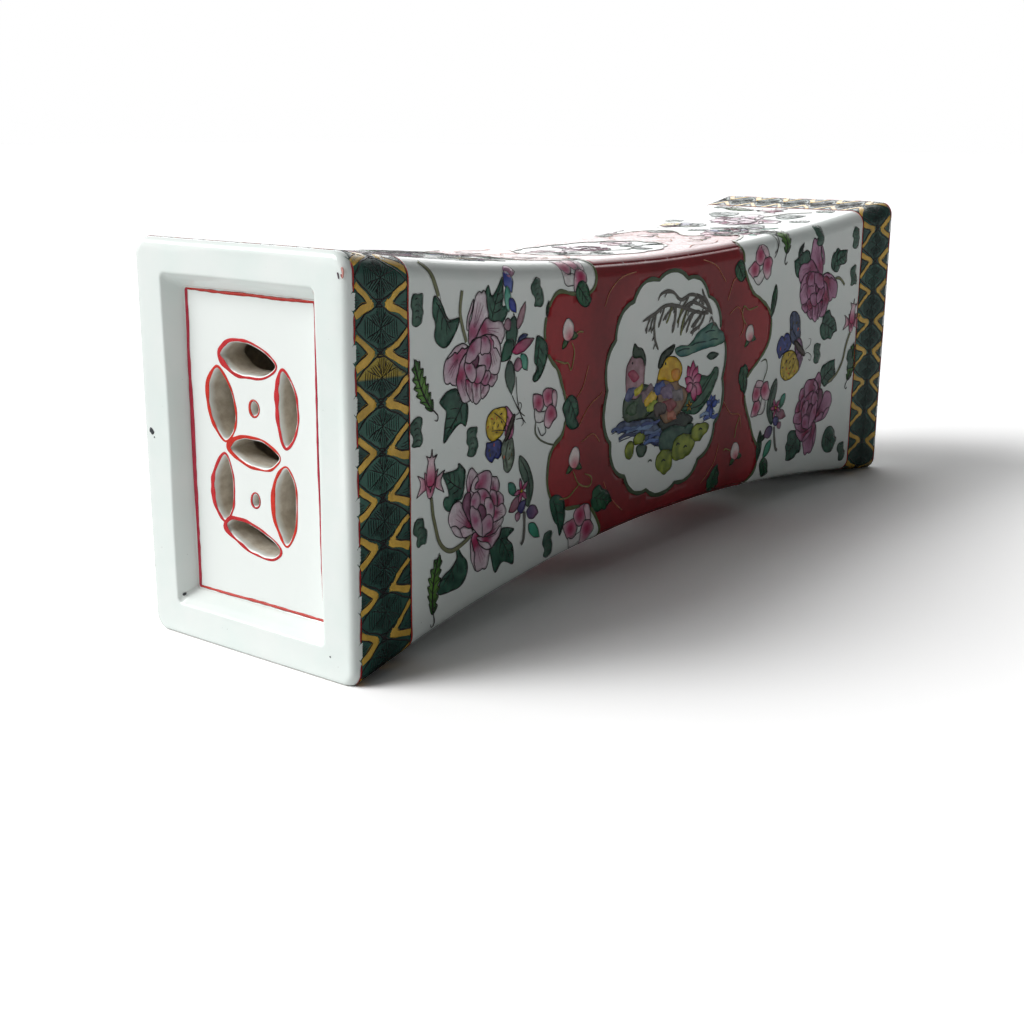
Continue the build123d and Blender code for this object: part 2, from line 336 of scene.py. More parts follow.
class Enamel:
    """Collects patches and brush lines of enamel, and lays them on the body as one piece."""

    def __init__(self):
        self.points, self.faces, self.smooth, self.colours, self.count = [], [], [], [], 0

    def add(self, points, faces, smooth, colours):
        self.points.append(points)
        self.faces.append(np.asarray(faces) + self.count)
        self.smooth.append(smooth)
        self.colours.append(np.broadcast_to(colours, (len(points), 3)))
        self.count += len(points)

    def fill(self, face, rings, level, colour, step=3.0, place=on_face):
        """A closed patch inside the first ring. colour is a pigment, or gives one for each point."""
        if isinstance(rings, np.ndarray):
            rings = [rings]
        low, high = rings[0].min(0), rings[0].max(0)
        columns = np.arange(low[0] + step * 0.5, high[0], step)
        across = np.arange(low[1] + step * 0.5, high[1], step)
        inner = np.array([(a, b) for a in columns for b in across]).reshape(-1, 2)
        if place is on_face:
            inner = with_edges(face, inner, columns, low[1], high[1])
        if len(inner):
            inner = inner[inside(inner, rings[0])]
        for ring in rings:
            if len(inner):
                inner = inner[~near(inner, ring, min(step, 1.2) * 0.45)]
        for hole in rings[1:]:
            if len(inner):
                inner = inner[~inside(inner, hole)]
        flat, faces = tile(rings, inner)
        if not len(faces):
            return
        height = FIRST_LEVEL + LEVEL_STEP * level
        top = place(face, flat[:, 0], flat[:, 1], height)
        under = place(face, flat[:, 0], flat[:, 1], height - LEVEL_STEP - FIRST_LEVEL * 0.8)
        n = len(flat)
        e = rim_edges(faces)
        sides = np.vstack(
            [np.stack([e[:, 0], e[:, 0] + n, e[:, 1] + n], 1), np.stack([e[:, 0], e[:, 1] + n, e[:, 1]], 1)]
        )
        all_faces = np.vstack([faces, faces[:, ::-1] + n, sides])
        smooth = np.r_[np.ones(len(faces), bool), np.zeros(len(faces) + len(sides), bool)]
        c = linear(colour(flat)) if callable(colour) else linear(colour)
        c = np.broadcast_to(c, (n, 3))
        self.add(np.vstack([top, under]), all_faces, smooth, np.vstack([c, c]))

    def line(self, face, points, width, level, colour, closed=False, ends=0.35, seed=0, place=on_face, bold=None):
        """A brush line that swells and thins a little. ends is the share of the width left at its ends."""
        p = np.asarray(points, float)
        if closed and np.allclose(p[0], p[-1]):
            p = p[:-1]
        n = len(p)
        if n < 2:
            return
        if closed:
            along = np.roll(p, -1, 0) - np.roll(p, 1, 0)
        else:
            along = np.gradient(p, axis=0)
        along /= np.maximum(np.hypot(along[:, 0], along[:, 1]), 1e-9)[:, None]
        square = np.stack([-along[:, 1], along[:, 0]], 1)
        swell = np.array([noise.noise(Vector((a / 3.1, b / 3.1, seed + 2.7))) for a, b in p])
        half = width / 2 * (1 + 0.35 * swell)
        if bold is not None:
            half = half * bold(p)
        if not closed:
            t = np.linspace(0, 1, n)
            half = half * (ends + (1 - ends) * np.clip(np.minimum(t, 1 - t) * 6, 0, 1) ** 0.6)
        half = half[:, None]
        height = FIRST_LEVEL + LEVEL_STEP * level
        if width > 1.0:
            profile = ((-1, 0.01), (-0.78, 0.035), (0.78, 0.035), (1, 0.01), (0.9, -0.06), (-0.9, -0.06))
        else:
            profile = ((-1, 0.005), (0, 0.035), (1, 0.005), (0, -0.05))
        rings = []
        for offset, over in profile:
            q = p + square * half * offset
            rings.append(place(face, q[:, 0], q[:, 1], height + over))
        k = len(profile)
        points3 = np.stack(rings, 1).reshape(-1, 3)
        faces = grid_faces(n, k, closed_rows=closed, closed_columns=True)
        faces = faces[:, ::-1]
        if not closed:
            first = [(0, j, j + 1) for j in range(1, k - 1)]
            last = [((n - 1) * k, (n - 1) * k + j + 1, (n - 1) * k + j) for j in range(1, k - 1)]
            faces = np.vstack([faces, first, last])
        self.add(points3, faces, np.ones(len(faces), bool), linear(colour))

    def lay(self, name, material, slot="glazed_porcelain"):
        obj = solid(
            name, np.vstack(self.points), np.vstack(self.faces),
            np.concatenate(self.smooth), np.vstack(self.colours),
        )
        return finish_piece(obj, material)


def with_edges(face, inner, columns, low, high):
    """Adds close rows of points where a face bends round its rounded edges."""
    x = -columns if face == "back" else columns
    up, down, across, edge = lengths(x)
    if face in ("front", "back"):
        starts = (up, -down - edge)
    else:
        starts = (across, -across - edge)
    extra = []
    for start in starts:
        for share in np.linspace(0, 1, 9):
            v = start + share * edge
            good = (v > low) & (v < high)
            extra.append(np.stack([columns[good], v[good]], 1))
    extra = np.vstack(extra) if extra else np.zeros((0, 2))
    if not len(extra) or not len(inner):
        return inner
    gap_rows = np.ones(len(inner), bool)
    for start in starts:
        s = np.interp(inner[:, 0], columns, start)
        e = np.interp(inner[:, 0], columns, edge)
        gap_rows &= ~((inner[:, 1] > s - 0.5) & (inner[:, 1] < s + e + 0.5))
    return np.vstack([inner[gap_rows], extra])


# ---------------------------------------------------------------- finishes


def add_node(tree, kind, **inputs):
    """A node with its inputs set by name."""
    made = tree.nodes.new(kind)
    for name, value in inputs.items():
        made.inputs[name.replace("_", " ")].default_value = value
    return made


def new_finish(name, roughness, metallic=0.0):
    material = bpy.data.materials.new(name)
    material.use_nodes = True
    tree = material.node_tree
    shader = tree.nodes["Principled BSDF"]
    shader.inputs["Roughness"].default_value = roughness
    shader.inputs["Metallic"].default_value = metallic
    place = tree.nodes.new("ShaderNodeTexCoord").outputs["Object"]
    return material, tree, shader, place


def speckle(tree, place, scale, detail, low, high):
    """A noise over the object, squeezed between low and high."""
    grain = add_node(tree, "ShaderNodeTexNoise", Scale=scale, Detail=detail, Roughness=0.6)
    tree.links.new(place, grain.inputs["Vector"])
    squeeze = add_node(tree, "ShaderNodeMapRange", From_Min=0.3, From_Max=0.7, To_Min=low, To_Max=high)
    tree.links.new(grain.outputs["Fac"], squeeze.inputs["Value"])
    return squeeze.outputs["Result"]


def mix_colour(tree, kind, share, a, b):
    """Mixes colours a and b, each a socket or a colour."""
    mixer = tree.nodes.new("ShaderNodeMix")
    mixer.data_type = "RGBA"
    mixer.blend_type = kind
    for socket, value in zip((mixer.inputs["Factor"], mixer.inputs[6], mixer.inputs[7]), (share, a, b)):
        if isinstance(value, bpy.types.NodeSocket):
            tree.links.new(value, socket)
        elif isinstance(value, (int, float)):
            socket.default_value = value
        else:
            socket.default_value = (*value, 1.0)
    return mixer.outputs[2]


def bump(tree, shader, place, scale, detail, depth):
    """Fine relief, depth in metres."""
    grain = add_node(tree, "ShaderNodeTexNoise", Scale=scale, Detail=detail, Roughness=0.5)
    tree.links.new(place, grain.inputs["Vector"])
    relief = add_node(tree, "ShaderNodeBump", Strength=1.0, Distance=depth)
    tree.links.new(grain.outputs["Fac"], relief.inputs["Height"])
    tree.links.new(relief.outputs["Normal"], shader.inputs["Normal"])


def grey(tree, value):
    joined = tree.nodes.new("ShaderNodeCombineColor")
    for channel in ("Red", "Green", "Blue"):
        tree.links.new(value, joined.inputs[channel])
    return joined.outputs["Color"]


def glazed_porcelain():
    """Cool white glaze: faint pooling of tone, iron specks, a soft orange-peel skin."""
    colours = bpy.context.scene.pillow_colours
    material, tree, shader, place = new_finish("glazed_porcelain_finish", 0.07)
    base = tuple(colours.glaze)
    cooler = tuple(c * k for c, k in zip(base, (0.93, 0.975, 0.965)))
    tone = mix_colour(tree, "MIX", speckle(tree, place, 42.0, 3.0, 0.0, 1.0), base, cooler)
    specks = add_node(tree, "ShaderNodeTexNoise", Scale=950.0, Detail=1.0, Roughness=0.4)
    tree.links.new(place, specks.inputs["Vector"])
    rare = add_node(tree, "ShaderNodeMapRange", From_Min=0.80, From_Max=0.86, To_Min=0.0, To_Max=0.55)
    tree.links.new(specks.outputs["Fac"], rare.inputs["Value"])
    tone = mix_colour(tree, "MIX", rare.outputs["Result"], tone, tuple(linear((112, 104, 92))))
    tree.links.new(tone, shader.inputs["Base Color"])
    tree.links.new(speckle(tree, place, 130.0, 2.0, 0.05, 0.12), shader.inputs["Roughness"])
    bump(tree, shader, place, 160.0, 2.0, 0.00006)
    return material


def vented_porcelain():
    """The panel's glaze, greying to buff down the sawn sides of the vents: partly the glaze thinning there, partly
    painted shade inside the vents.
    """
    colours = bpy.context.scene.pillow_colours
    material, tree, shader, place = new_finish("pierced_panel_finish", 0.08)
    base = tuple(colours.glaze)
    apart = tree.nodes.new("ShaderNodeSeparateXYZ")
    tree.links.new(place, apart.inputs["Vector"])
    size = tree.nodes.new("ShaderNodeMath")
    size.operation = "ABSOLUTE"
    tree.links.new(apart.outputs["X"], size.inputs[0])
    # Deeper into each vent the colour turns grey buff: partly thinner glaze, partly painted shade of the hollow.
    depth = add_node(tree, "ShaderNodeMapRange", From_Min=0.1836, From_Max=0.1812, To_Min=0.0, To_Max=1.0)
    tree.links.new(size.outputs["Value"], depth.inputs["Value"])
    wall = mix_colour(
        tree, "MIX", speckle(tree, place, 300.0, 4.0, 0.0, 1.0),
        tuple(linear((226, 219, 205))), tuple(linear((192, 181, 164))),
    )
    tone = mix_colour(tree, "MIX", depth.outputs["Result"], base, wall)
    tree.links.new(tone, shader.inputs["Base Color"])
    tree.links.new(speckle(tree, place, 130.0, 2.0, 0.05, 0.14), shader.inputs["Roughness"])
    bump(tree, shader, place, 210.0, 3.0, 0.00008)
    return material


def enamel_finish(name, roughness, wash, relief, metallic=0.0):
    """Overglaze enamel: the pigment of each brush stroke, washed unevenly and a little raised."""
    material, tree, shader, place = new_finish(name, roughness, metallic)
    shader.inputs["Specular IOR Level"].default_value = 0.42
    pigment = tree.nodes.new("ShaderNodeAttribute")
    pigment.attribute_name = "pigment"
    broad = speckle(tree, place, 260.0, 3.0, 1.0 - wash, 1.0 + wash * 0.7)
    fine = speckle(tree, place, 1500.0, 2.0, 1.0 - wash * 0.5, 1.0 + wash * 0.5)
    tone = mix_colour(tree, "MULTIPLY", 1.0, pigment.outputs["Color"], grey(tree, broad))
    tone = mix_colour(tree, "MULTIPLY", 1.0, tone, grey(tree, fine))
    tree.links.new(tone, shader.inputs["Base Color"])
    tree.links.new(
        speckle(tree, place, 420.0, 2.0, roughness * 0.7, min(1.0, roughness * 1.5)), shader.inputs["Roughness"]
    )
    bump(tree, shader, place, 900.0, 3.0, relief)
    return material


def biscuit_finish(name, shade, relief):
    """Unglazed body or dried slip: grainy, matt, with darker dust in the grain."""
    colours = bpy.context.scene.pillow_colours
    material, tree, shader, place = new_finish(name, 0.75)
    base = tuple(c * shade for c in colours.biscuit)
    darker = tuple(c * 0.72 for c in base)
    tone = mix_colour(tree, "MIX", speckle(tree, place, 500.0, 5.0, 0.0, 1.0), base, darker)
    tree.links.new(tone, shader.inputs["Base Color"])
    tree.links.new(speckle(tree, place, 700.0, 3.0, 0.6, 0.9), shader.inputs["Roughness"])
    bump(tree, shader, place, 1600.0, 4.0, relief)
    return material


def finish_named(name):
    """The finish of that name, made the first time it is asked for."""
    found = bpy.data.materials.get(name)
    if found:
        return found
    makers = {
        "glazed_porcelain_finish": glazed_porcelain,
        "pierced_panel_finish": vented_porcelain,
        "enamel_finish": lambda: enamel_finish("enamel_finish", 0.13, 0.16, 0.00003),
        "ground_enamel_finish": lambda: enamel_finish("ground_enamel_finish", 0.16, 0.10, 0.00003),
        "ink_finish": lambda: enamel_finish("ink_finish", 0.3, 0.2, 0.00002),
        "gilt_finish": lambda: enamel_finish("gilt_finish", 0.35, 0.15, 0.00002, 0.45),
        "biscuit_finish": lambda: biscuit_finish("biscuit_finish", 1.0, 0.00005),
        # The inside's coils and panels take the biscuit darkened to 0.62, painted shade of the closed hollow.
        "inner_biscuit_shaded_finish": lambda: biscuit_finish("inner_biscuit_shaded_finish", 0.62, 0.00008),
        "slip_finish": lambda: biscuit_finish("slip_finish", 0.7, 0.00006),
    }
    return makers[name]()


# ---------------------------------------------------------------- the glaze and the panels

RING_CORNER = 12
RING_UPRIGHT = 28
RING_LEVEL = 18
STATION_STEP = 4.0
PANEL_PLANE = 183.5
MOUTH_HALF = (33.7, 54.5)
ROOT_HALF = (31.1, 50.7)


def ring_places():
    """(corner counted from the front's foot, share along its flat, share round its edge) for each ring point."""
    places = []
    for k in range(4):
        count = RING_LEVEL if k % 2 else RING_UPRIGHT
        places += [(k, i / count, 0.0) for i in range(count)]
        places += [(k, 1.0, i / RING_CORNER) for i in range(RING_CORNER)]
    return np.array(places)


def body_ring(x, lift, places):
    """A ring round the body at x, and its outward directions."""
    up, down, across, edge = (float(a) for a in lengths(np.float64(x)))
    flats = np.array([up + down, 2 * across, up + down, 2 * across])
    starts = np.array([0, up + down + edge, up + down + 2 * across + 2 * edge, 2 * (up + down) + 2 * across + 3 * edge])
    k = places[:, 0].astype(int)
    p = starts[k] + flats[k] * places[:, 1] + edge * places[:, 2] - down
    xs = np.full(len(p), float(x))
    here, further = loose_body(xs, p, lift), loose_body(xs, p, lift + 1.0)
    return here, further - here


def loose_body(x, p, lift):
    """As on_body, but the underside may pass below the floor."""
    side, top, foot, r = section(x)
    up, down, across, edge = lengths(x)
    flats = (up + down, 2 * across, up + down, 2 * across)
    middles = ((r - side, top - r), (side - r, top - r), (side - r, foot + r), (r - side, foot + r))
    normals = ((-1, 0), (0, 1), (1, 0), (0, -1))
    s = np.mod(p + down, girth(x))
    y, z, ny, nz = (np.zeros_like(s) for _ in range(4))
    start = np.zeros_like(s)
    for k in range(4):
        (cy, cz), (py, pz) = middles[k], middles[k - 1]
        (hy, hz), (ay, az) = normals[k], normals[(k + 1) % 4]
        t = s - start
        flat = (t >= 0) & (t < flats[k])
        bent = (t >= flats[k]) & (t <= flats[k] + edge + 1e-9)
        y[flat], z[flat] = (py + r * hy + t * ay)[flat], (pz + r * hz + t * az)[flat]
        ny[flat], nz[flat] = hy, hz
        turn = (t - flats[k]) / r
        by, bz = np.cos(turn) * hy + np.sin(turn) * ay, np.cos(turn) * hz + np.sin(turn) * az
        y[bent], z[bent] = (cy + r * by)[bent], (cz + r * bz)[bent]
        ny[bent], nz[bent] = by[bent], bz[bent]
        start = start + flats[k] + edge
    out = lift + bpy.context.scene.pillow_form.glaze + wander(x, y, z)
    return np.stack([x, y + ny * out, z + nz * out], -1)


def mouth_ring(x, half_y, half_z, radius, places):
    """A rounded rectangle round the panel's middle, with the same count of points as a body ring."""
    normals = np.array([(-1, 0), (0, 1), (1, 0), (0, -1)], float)
    corners = np.array([(-1, 1), (1, 1), (1, -1), (-1, -1)], float) * (half_y - radius, half_z - radius)
    points = []
    for k, along, turn in places:
        k = int(k)
        here, after = normals[k], normals[(k + 1) % 4]
        start, end = corners[k - 1] + here * radius, corners[k] + here * radius
        if turn > 0:
            a = turn * math.pi / 2
            q = corners[k] + radius * (math.cos(a) * here + math.sin(a) * after)
        else:
            q = start + (end - start) * along
        points.append((x, q[0], q[1] + MID_HEIGHT))
    return np.array(points)


def end_rings(sign, places):
    """Rings of the glaze from the end arris over the rim and down the bevel to the panel."""
    start = HALF_LENGTH - bpy.context.scene.pillow_form.end_arris
    round_over = bpy.context.scene.pillow_form.end_arris + bpy.context.scene.pillow_form.glaze
    ring, normal = body_ring(sign * start, 0.0, places)
    rings = []
    for step in range(1, 8):
        a = step / 7 * math.pi / 2
        move = np.zeros(3)
        move[0] = sign * round_over * math.sin(a)
        rings.append(ring - normal * round_over * (1 - math.cos(a)) + move)
    outer = rings[-1]
    rim_x = abs(outer[0, 0])
    arris = 1.1
    first = mouth_ring(sign * rim_x, MOUTH_HALF[0] + 0.8, MOUTH_HALF[1] + 0.8, 2.4, places)
    for share in (0.08, 0.3, 0.55, 0.8, 0.95):
        rings.append(outer + (first - outer) * share)
    for step in range(6):
        a = step / 5 * math.radians(66)
        rings.append(
            mouth_ring(
                sign * (rim_x - arris * (1 - math.cos(a))),
                MOUTH_HALF[0] + 0.8 - arris * math.sin(a), MOUTH_HALF[1] + 0.8 - arris * math.sin(a), 2.4 - 0.15 * step, places,
            )
        )
    root_x = PANEL_PLANE + 0.3
    for x, grow, radius in ((188.7, 0.80, 1.8), (187.4, 0.60, 1.6), (185.6, 0.28, 1.5), (184.7, 0.10, 1.4), (184.25, -0.02, 1.3),
                            (183.98, -0.02, 1.2), (183.84, -0.15, 1.1), (root_x - 0.06, -0.4, 1.0), (root_x - 0.7, -1.0, 1.0)):
        y = ROOT_HALF[0] - 0.5 + max(grow, 0) * (MOUTH_HALF[0] - ROOT_HALF[0]) + min(grow, 0)
        z = ROOT_HALF[1] - 0.5 + max(grow, 0) * (MOUTH_HALF[1] - ROOT_HALF[1]) + min(grow, 0)
        rings.append(mouth_ring(sign * x, y, z, radius, places))
    uneven = []
    for n, r in enumerate(rings):
        r = r.copy()
        if n >= 7:
            r[:, 0] += 0.16 * np.sin(r[:, 2] / 13 + sign) * np.cos(r[:, 1] / 11 + 0.5)
            r[:, 1] += 0.10 * np.sin(r[:, 2] / 15 + 2 * sign + n / 9)
            r[:, 2] += 0.08 * np.sin(r[:, 1] / 12 + 1.3 + sign)
        uneven.append(r)
    return uneven


def inner_end_rings(sign, places):
    """The under side of the glaze at an end, from the panel back out to the walls."""
    ring, normal = body_ring(sign * (HALF_LENGTH - 2.4), -0.6, places)
    back = ring - normal * 1.9
    back[:, 0] = sign * 189.4
    return [
        mouth_ring(sign * 182.6, 31.3, 50.9, 1.2, places),
        mouth_ring(sign * 188.2, 34.3, 55.2, 2.0, places),
        mouth_ring(sign * 189.4, 35.6, 56.4, 2.6, places),
        back,
    ]


class PILLOW_OT_glaze(bpy.types.Operator):
    """Coats the walls, the rims and the bevels with one continuous glaze"""

    bl_idname = "pillow.glaze"
    bl_label = "Glaze"

    def execute(self, context):
        places = ring_places()
        start = HALF_LENGTH - context.scene.pillow_form.end_arris
        stations = np.linspace(-start, start, int(2 * start / STATION_STEP) + 1)
        outer = [body_ring(x, 0.0, places)[0] for x in stations]
        under = [body_ring(x, -0.6, places)[0] for x in stations[::-1]]
        rings = end_rings(-1, places)[::-1] + outer + end_rings(1, places)
        shown = len(rings)
        rings += inner_end_rings(1, places) + under + inner_end_rings(-1, places)[::-1]
        points = np.vstack(rings)
        count = len(places)
        floor = np.where(np.arange(len(points)) < shown * count, 0.15, 0.5)
        points[:, 2] = np.maximum(points[:, 2], floor)
        faces = grid_faces(len(rings), count, closed_rows=True, closed_columns=True)[:, ::-1]
        coat = solid("glaze_coat", points, faces)
        finish_piece(coat, finish_named("glazed_porcelain_finish"))
        return {"FINISHED"}


# Each vent as it is cut, seen from outside: left, right, top and bottom point, mm from the panel's middle
VENTS = {
    "upper": ((-15.2, 29.4), (10.1, 28.8), (-4.9, 34.9), (-2.4, 23.9)),
    "upper_left": ((-21.3, 13.9), (-9.0, 12.6), (-16.4, 25.6), (-14.2, 2.5)),
    "upper_right": ((10.4, 15.4), (19.1, 15.7), (13.0, 27.6), (13.7, 3.6)),
    "middle": ((-12.6, 0.4), (10.4, 0.0), (-1.8, 4.6), (0.2, -4.8)),
    "lower_left": ((-20.9, -14.4), (-11.4, -14.2), (-14.8, -2.1), (-15.9, -24.6)),
    "lower_right": ((6.9, -13.7), (17.3, -14.7), (13.3, -2.7), (12.1, -28.0)),
    "lower": ((-15.6, -26.8), (9.1, -29.5), (-6.9, -23.2), (0.3, -33.5)),
}
EYES = (((-0.1, 14.3), 2.15), ((-1.2, -15.5), 2.0))


def vent_ring(left, right, top, bottom):
    """A hand-cut lens through its four outermost points."""
    left, right, top, bottom = (np.array(p, float) for p in (left, right, top, bottom))
    middle = (left + right + top + bottom) / 4
    upright = np.hypot(*(top - bottom)) > np.hypot(*(left - right))
    tips = (top, bottom) if upright else (left, right)
    points = []
    order = (left, bottom, right, top)
    for k in range(4):
        a, b = order[k], order[(k + 1) % 4]
        points.append(a)
        tip, side = (a, b) if any(a is t for t in tips) else (b, a)
        reach = side - middle
        along = tip - middle
        points.append(middle + along * 0.56 + reach * 0.80)
    return run(points, closed=True, step=0.8)


def shrink(ring, by):
    """A closed ring drawn in along its own inward directions. It runs with the clay on its left."""
    ahead, behind = np.roll(ring, -1, 0), np.roll(ring, 1, 0)
    along = ahead - behind
    along /= np.maximum(np.hypot(along[:, 0], along[:, 1]), 1e-9)[:, None]
    inward = np.stack([-along[:, 1], along[:, 0]], 1)
    return ring + inward * np.asarray(by).reshape(-1, 1)


def counter_clockwise(ring):
    x, y = ring[:, 0], ring[:, 1]
    area = np.sum(x * np.roll(y, -1) - np.roll(x, -1) * y)
    return ring if area > 0 else ring[::-1]


def vent_rings(sign):
    """The outlines of all holes of a panel. The right panel is cut by the same pattern, by hand again."""
    rings = []
    for n, name in enumerate(VENTS):
        ring = vent_ring(*VENTS[name])
        rings.append(ring)
    for (a, b), r in EYES:
        turn = np.linspace(0, 2 * math.pi, 20, endpoint=False)
        ring = np.stack([a + r * 0.86 * np.cos(turn), b + r * 1.1 * np.sin(turn)], 1)
        rings.append(ring)
    if sign > 0:
        rings = [ring * (-1, 1) + (0.4, -0.3) for ring in rings]
    return [counter_clockwise(hand(ring, 3 + n + 20 * sign, 0.3, 5.0)) for n, ring in enumerate(rings)]


def on_panel(sign):
    """Places panel points, seen from outside, on the glazed front of the left (-1) or right (1) panel."""

    def place(face, a, b, lift):
        a, b = np.asarray(a, float), np.asarray(b, float)
        wave = 0.12 * np.sin(a / 11 + sign) * np.cos(b / 15 + 0.4)
        x = sign * (PANEL_PLANE + 0.3 + wave + lift)
        return np.stack(np.broadcast_arrays(x, sign * a, b + MID_HEIGHT), -1)

    return place


class PILLOW_OT_panels(bpy.types.Operator):
    """Cuts the two pierced end panels by hand, with softened edges, and glazes them"""

    bl_idname = "pillow.panels"
    bl_label = "Pierced panels"

    def execute(self, context):
        for sign, name in ((-1, "left_panel"), (1, "right_panel")):
            place = on_panel(sign)
            holes = vent_rings(sign)
            edge = run(
                [(-33.4, -52.4), (-33.4, -52.4), (33.4, -52.4), (33.4, -52.4), (33.4, 52.4), (33.4, 52.4),
                 (-33.4, 52.4), (-33.4, 52.4)], closed=True, step=4.0,
            )
            grid = np.array([(a, b) for a in np.arange(-31, 32, 4.0) for b in np.arange(-50, 51, 4.0)])
            for hole in holes:
                grid = grid[~inside(grid, hole) & ~near(grid, hole, 1.0)]
            flat, faces = tile([edge, *holes], grid)
            made = Enamel()
            points, triangles, count = [place("", flat[:, 0], flat[:, 1], 0.0)], [faces], len(flat)
            backs = []
            for n, hole in enumerate(holes):
                radius = 0.55 if n < 7 else 0.25
                levels = []
                for step in range(0, 6):
                    t = step / 5 * math.pi / 2
                    levels.append((radius * math.sin(t), radius * (1 - math.cos(t))))
                levels[0] = (0.0, 0.0)
                cut = np.array([noise.noise(Vector((q[0] / 3, q[1] / 3, n + sign))) for q in hole])
                depth_end = 10.2
                levels += [(radius + 0.1 + 0.25 * d / depth_end, d) for d in (1.6, 3.0, 4.8, 6.8, 8.8)]
                levels += [(radius + 0.2, 9.8), (radius - 0.1, depth_end)]
                ring_points, ring_index = [], []
                for level, (draw, deep) in enumerate(levels):
                    wobble = cut * 0.22 * min(1.0, deep / 3) if level else 0
                    q = shrink(hole, draw + wobble)
                    ring_points.append(place("", q[:, 0], q[:, 1], -deep))
                    if level == len(levels) - 1:
                        backs.append(q)
                size = len(hole)
                points += ring_points
                triangles.append(grid_faces(len(levels), size, closed_columns=True) + count)
                count += len(levels) * size
            under, under_faces = tile([edge, *backs], np.zeros((0, 2)))
            points.append(place("", under[:, 0], under[:, 1], -10.2))
            triangles.append(under_faces[:, ::-1] + count)
            count += len(under)
            sides = np.vstack([place("", edge[:, 0], edge[:, 1], 0.0), place("", edge[:, 0], edge[:, 1], -10.2)])
            points.append(sides)
            triangles.append(grid_faces(2, len(edge), closed_columns=True)[:, ::-1] + count)
            panel = solid(name + "_glazed", np.vstack(points), np.vstack(triangles))
            weld(panel)
            finish_piece(panel, finish_named("pierced_panel_finish"))
            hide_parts(name)
        return {"FINISHED"}


def weld(obj):
    """Joins points that lie together, and turns every face outwards."""
    import bmesh

    mesh = bmesh.new()
    mesh.from_mesh(obj.data)
    bmesh.ops.remove_doubles(mesh, verts=mesh.verts, dist=0.000004)
    bmesh.ops.recalc_face_normals(mesh, faces=mesh.faces)
    mesh.to_mesh(obj.data)
    mesh.free()
    obj.data.update()


class PILLOW_OT_panel_lines(bpy.types.Operator):
    """Paints the uneven red lines round the windows and the vents"""

    bl_idname = "pillow.panel_lines"
    bl_label = "Panel lines"

    def execute(self, context):
        for sign, name in ((-1, "left"), (1, "right")):
            place = on_panel(sign)
            lines = Enamel()
            purple = (186, 44, 66)
            frames = (
                (((-30.4, 49.5), (-14, 49.3), (2, 49.5), (15, 49.2), (27.4, 49.5)), 1.0, IRON_RED),
                (((-29.8, 50.0), (-29.8, 25), (-29.6, 4), (-29.6, -20), (-29.9, -50.0)), 1.8, purple),
                (((-30.4, -49.5), (-12, -49.4), (6, -49.3), (28.0, -49.5)), 1.0, IRON_RED),
                (((26.9, 49.6), (27.3, 44), (27.1, 20), (27.3, -2), (27.4, -30), (27.9, -49.8)), 0.8, purple),
            )
            for points, width, colour in frames:
                curve = hand(run(points, step=1.0), 31 + sign, 0.25, 20.0)
                lines.line("", curve, width, 0, colour, ends=0.9, seed=len(points), place=place)
            for n, ring in enumerate(vent_rings(sign)):
                size = 0.75 if n < 7 else 0.5
                left = ring[:, 0].min()
                wide = ring[:, 0].max() - left

                def heavier(p, left=left, wide=wide, n=n):
                    share = 1 - np.clip((p[:, 0] - left) / wide, 0, 1)
                    gaps = np.array([noise.noise(Vector((a / 4.0, b / 4.0, n * 3.1))) for a, b in p])
                    return (0.75 + 1.0 * share**3) * (1 + 0.5 * gaps)

                outer = shrink(ring, -0.28)
                colour = IRON_RED if n % 2 else (196, 48, 52)
                lines.line("", outer, size * 1.35, 0, colour, closed=True, seed=n, place=place, bold=heavier)
            lines.lay(name + "_panel_lines", finish_named("enamel_finish"))
        self.kiln_marks()
        return {"FINISHED"}

    def kiln_marks(self):
        """Small ash specks and a smear of stray enamel on the left rim and in the recess's lower corner."""

        def on_rim(face, a, b, lift):
            a, b = np.asarray(a, float), np.asarray(b, float)
            wave = 0.16 * np.sin((b + MID_HEIGHT) / 13 - 1) * np.cos(-a / 11 + 0.5)
            return np.stack(np.broadcast_arrays(wave - HALF_LENGTH - 0.3 - lift, -a, b + MID_HEIGHT), -1)

        def on_bevel(face, a, b, lift):
            a, b = np.asarray(a, float), np.asarray(b, float)
            return np.stack(np.broadcast_arrays(-a, 32.56 + (a - 188.6) * 0.4 - lift, b + MID_HEIGHT), -1)

        marks = Enamel()
        ash, rose = (66, 70, 74), (206, 146, 138)
        for place, points, width, colour in (
            (on_rim, ((-43.3, 3.2), (-42.4, 2.8), (-41.6, 1.8)), 1.9, ash), (on_rim, ((-41.4, 1.0), (-41.0, 0.6)), 0.6, ash),
            (on_rim, ((43.4, 59.6), (43.7, 58.6), (43.9, 57.8)), 0.5, (92, 70, 84)), (on_rim, ((45.2, 61.2), (45.6, 59.6), (45.2, 58.0)), 0.9, rose),
            (on_rim, ((44.8, 59.2), (45.0, 58.4)), 0.5, (150, 60, 66)), (on_rim, ((36, -57.2), (36.6, -57.4)), 0.5, ash),
            (on_bevel, ((188.0, -51.9), (188.5, -51.7), (189.0, -52.1)), 0.9, ash), (on_bevel, ((187.6, -52.2), (187.9, -52.4)), 0.5, ash),
        ):
            marks.line("", run(points, step=0.3), width, 0, colour, place=place)
        marks.lay("kiln_marks", finish_named("ink_finish"))


# ---------------------------------------------------------------- the painter's canvas


def boxes_meet(a, b):
    return bool(np.all(a.min(0) <= b.max(0)) and np.all(b.min(0) <= a.max(0)))


def rings_meet(a, b):
    return boxes_meet(a, b) and bool(inside(a, b).any() or inside(b, a).any())


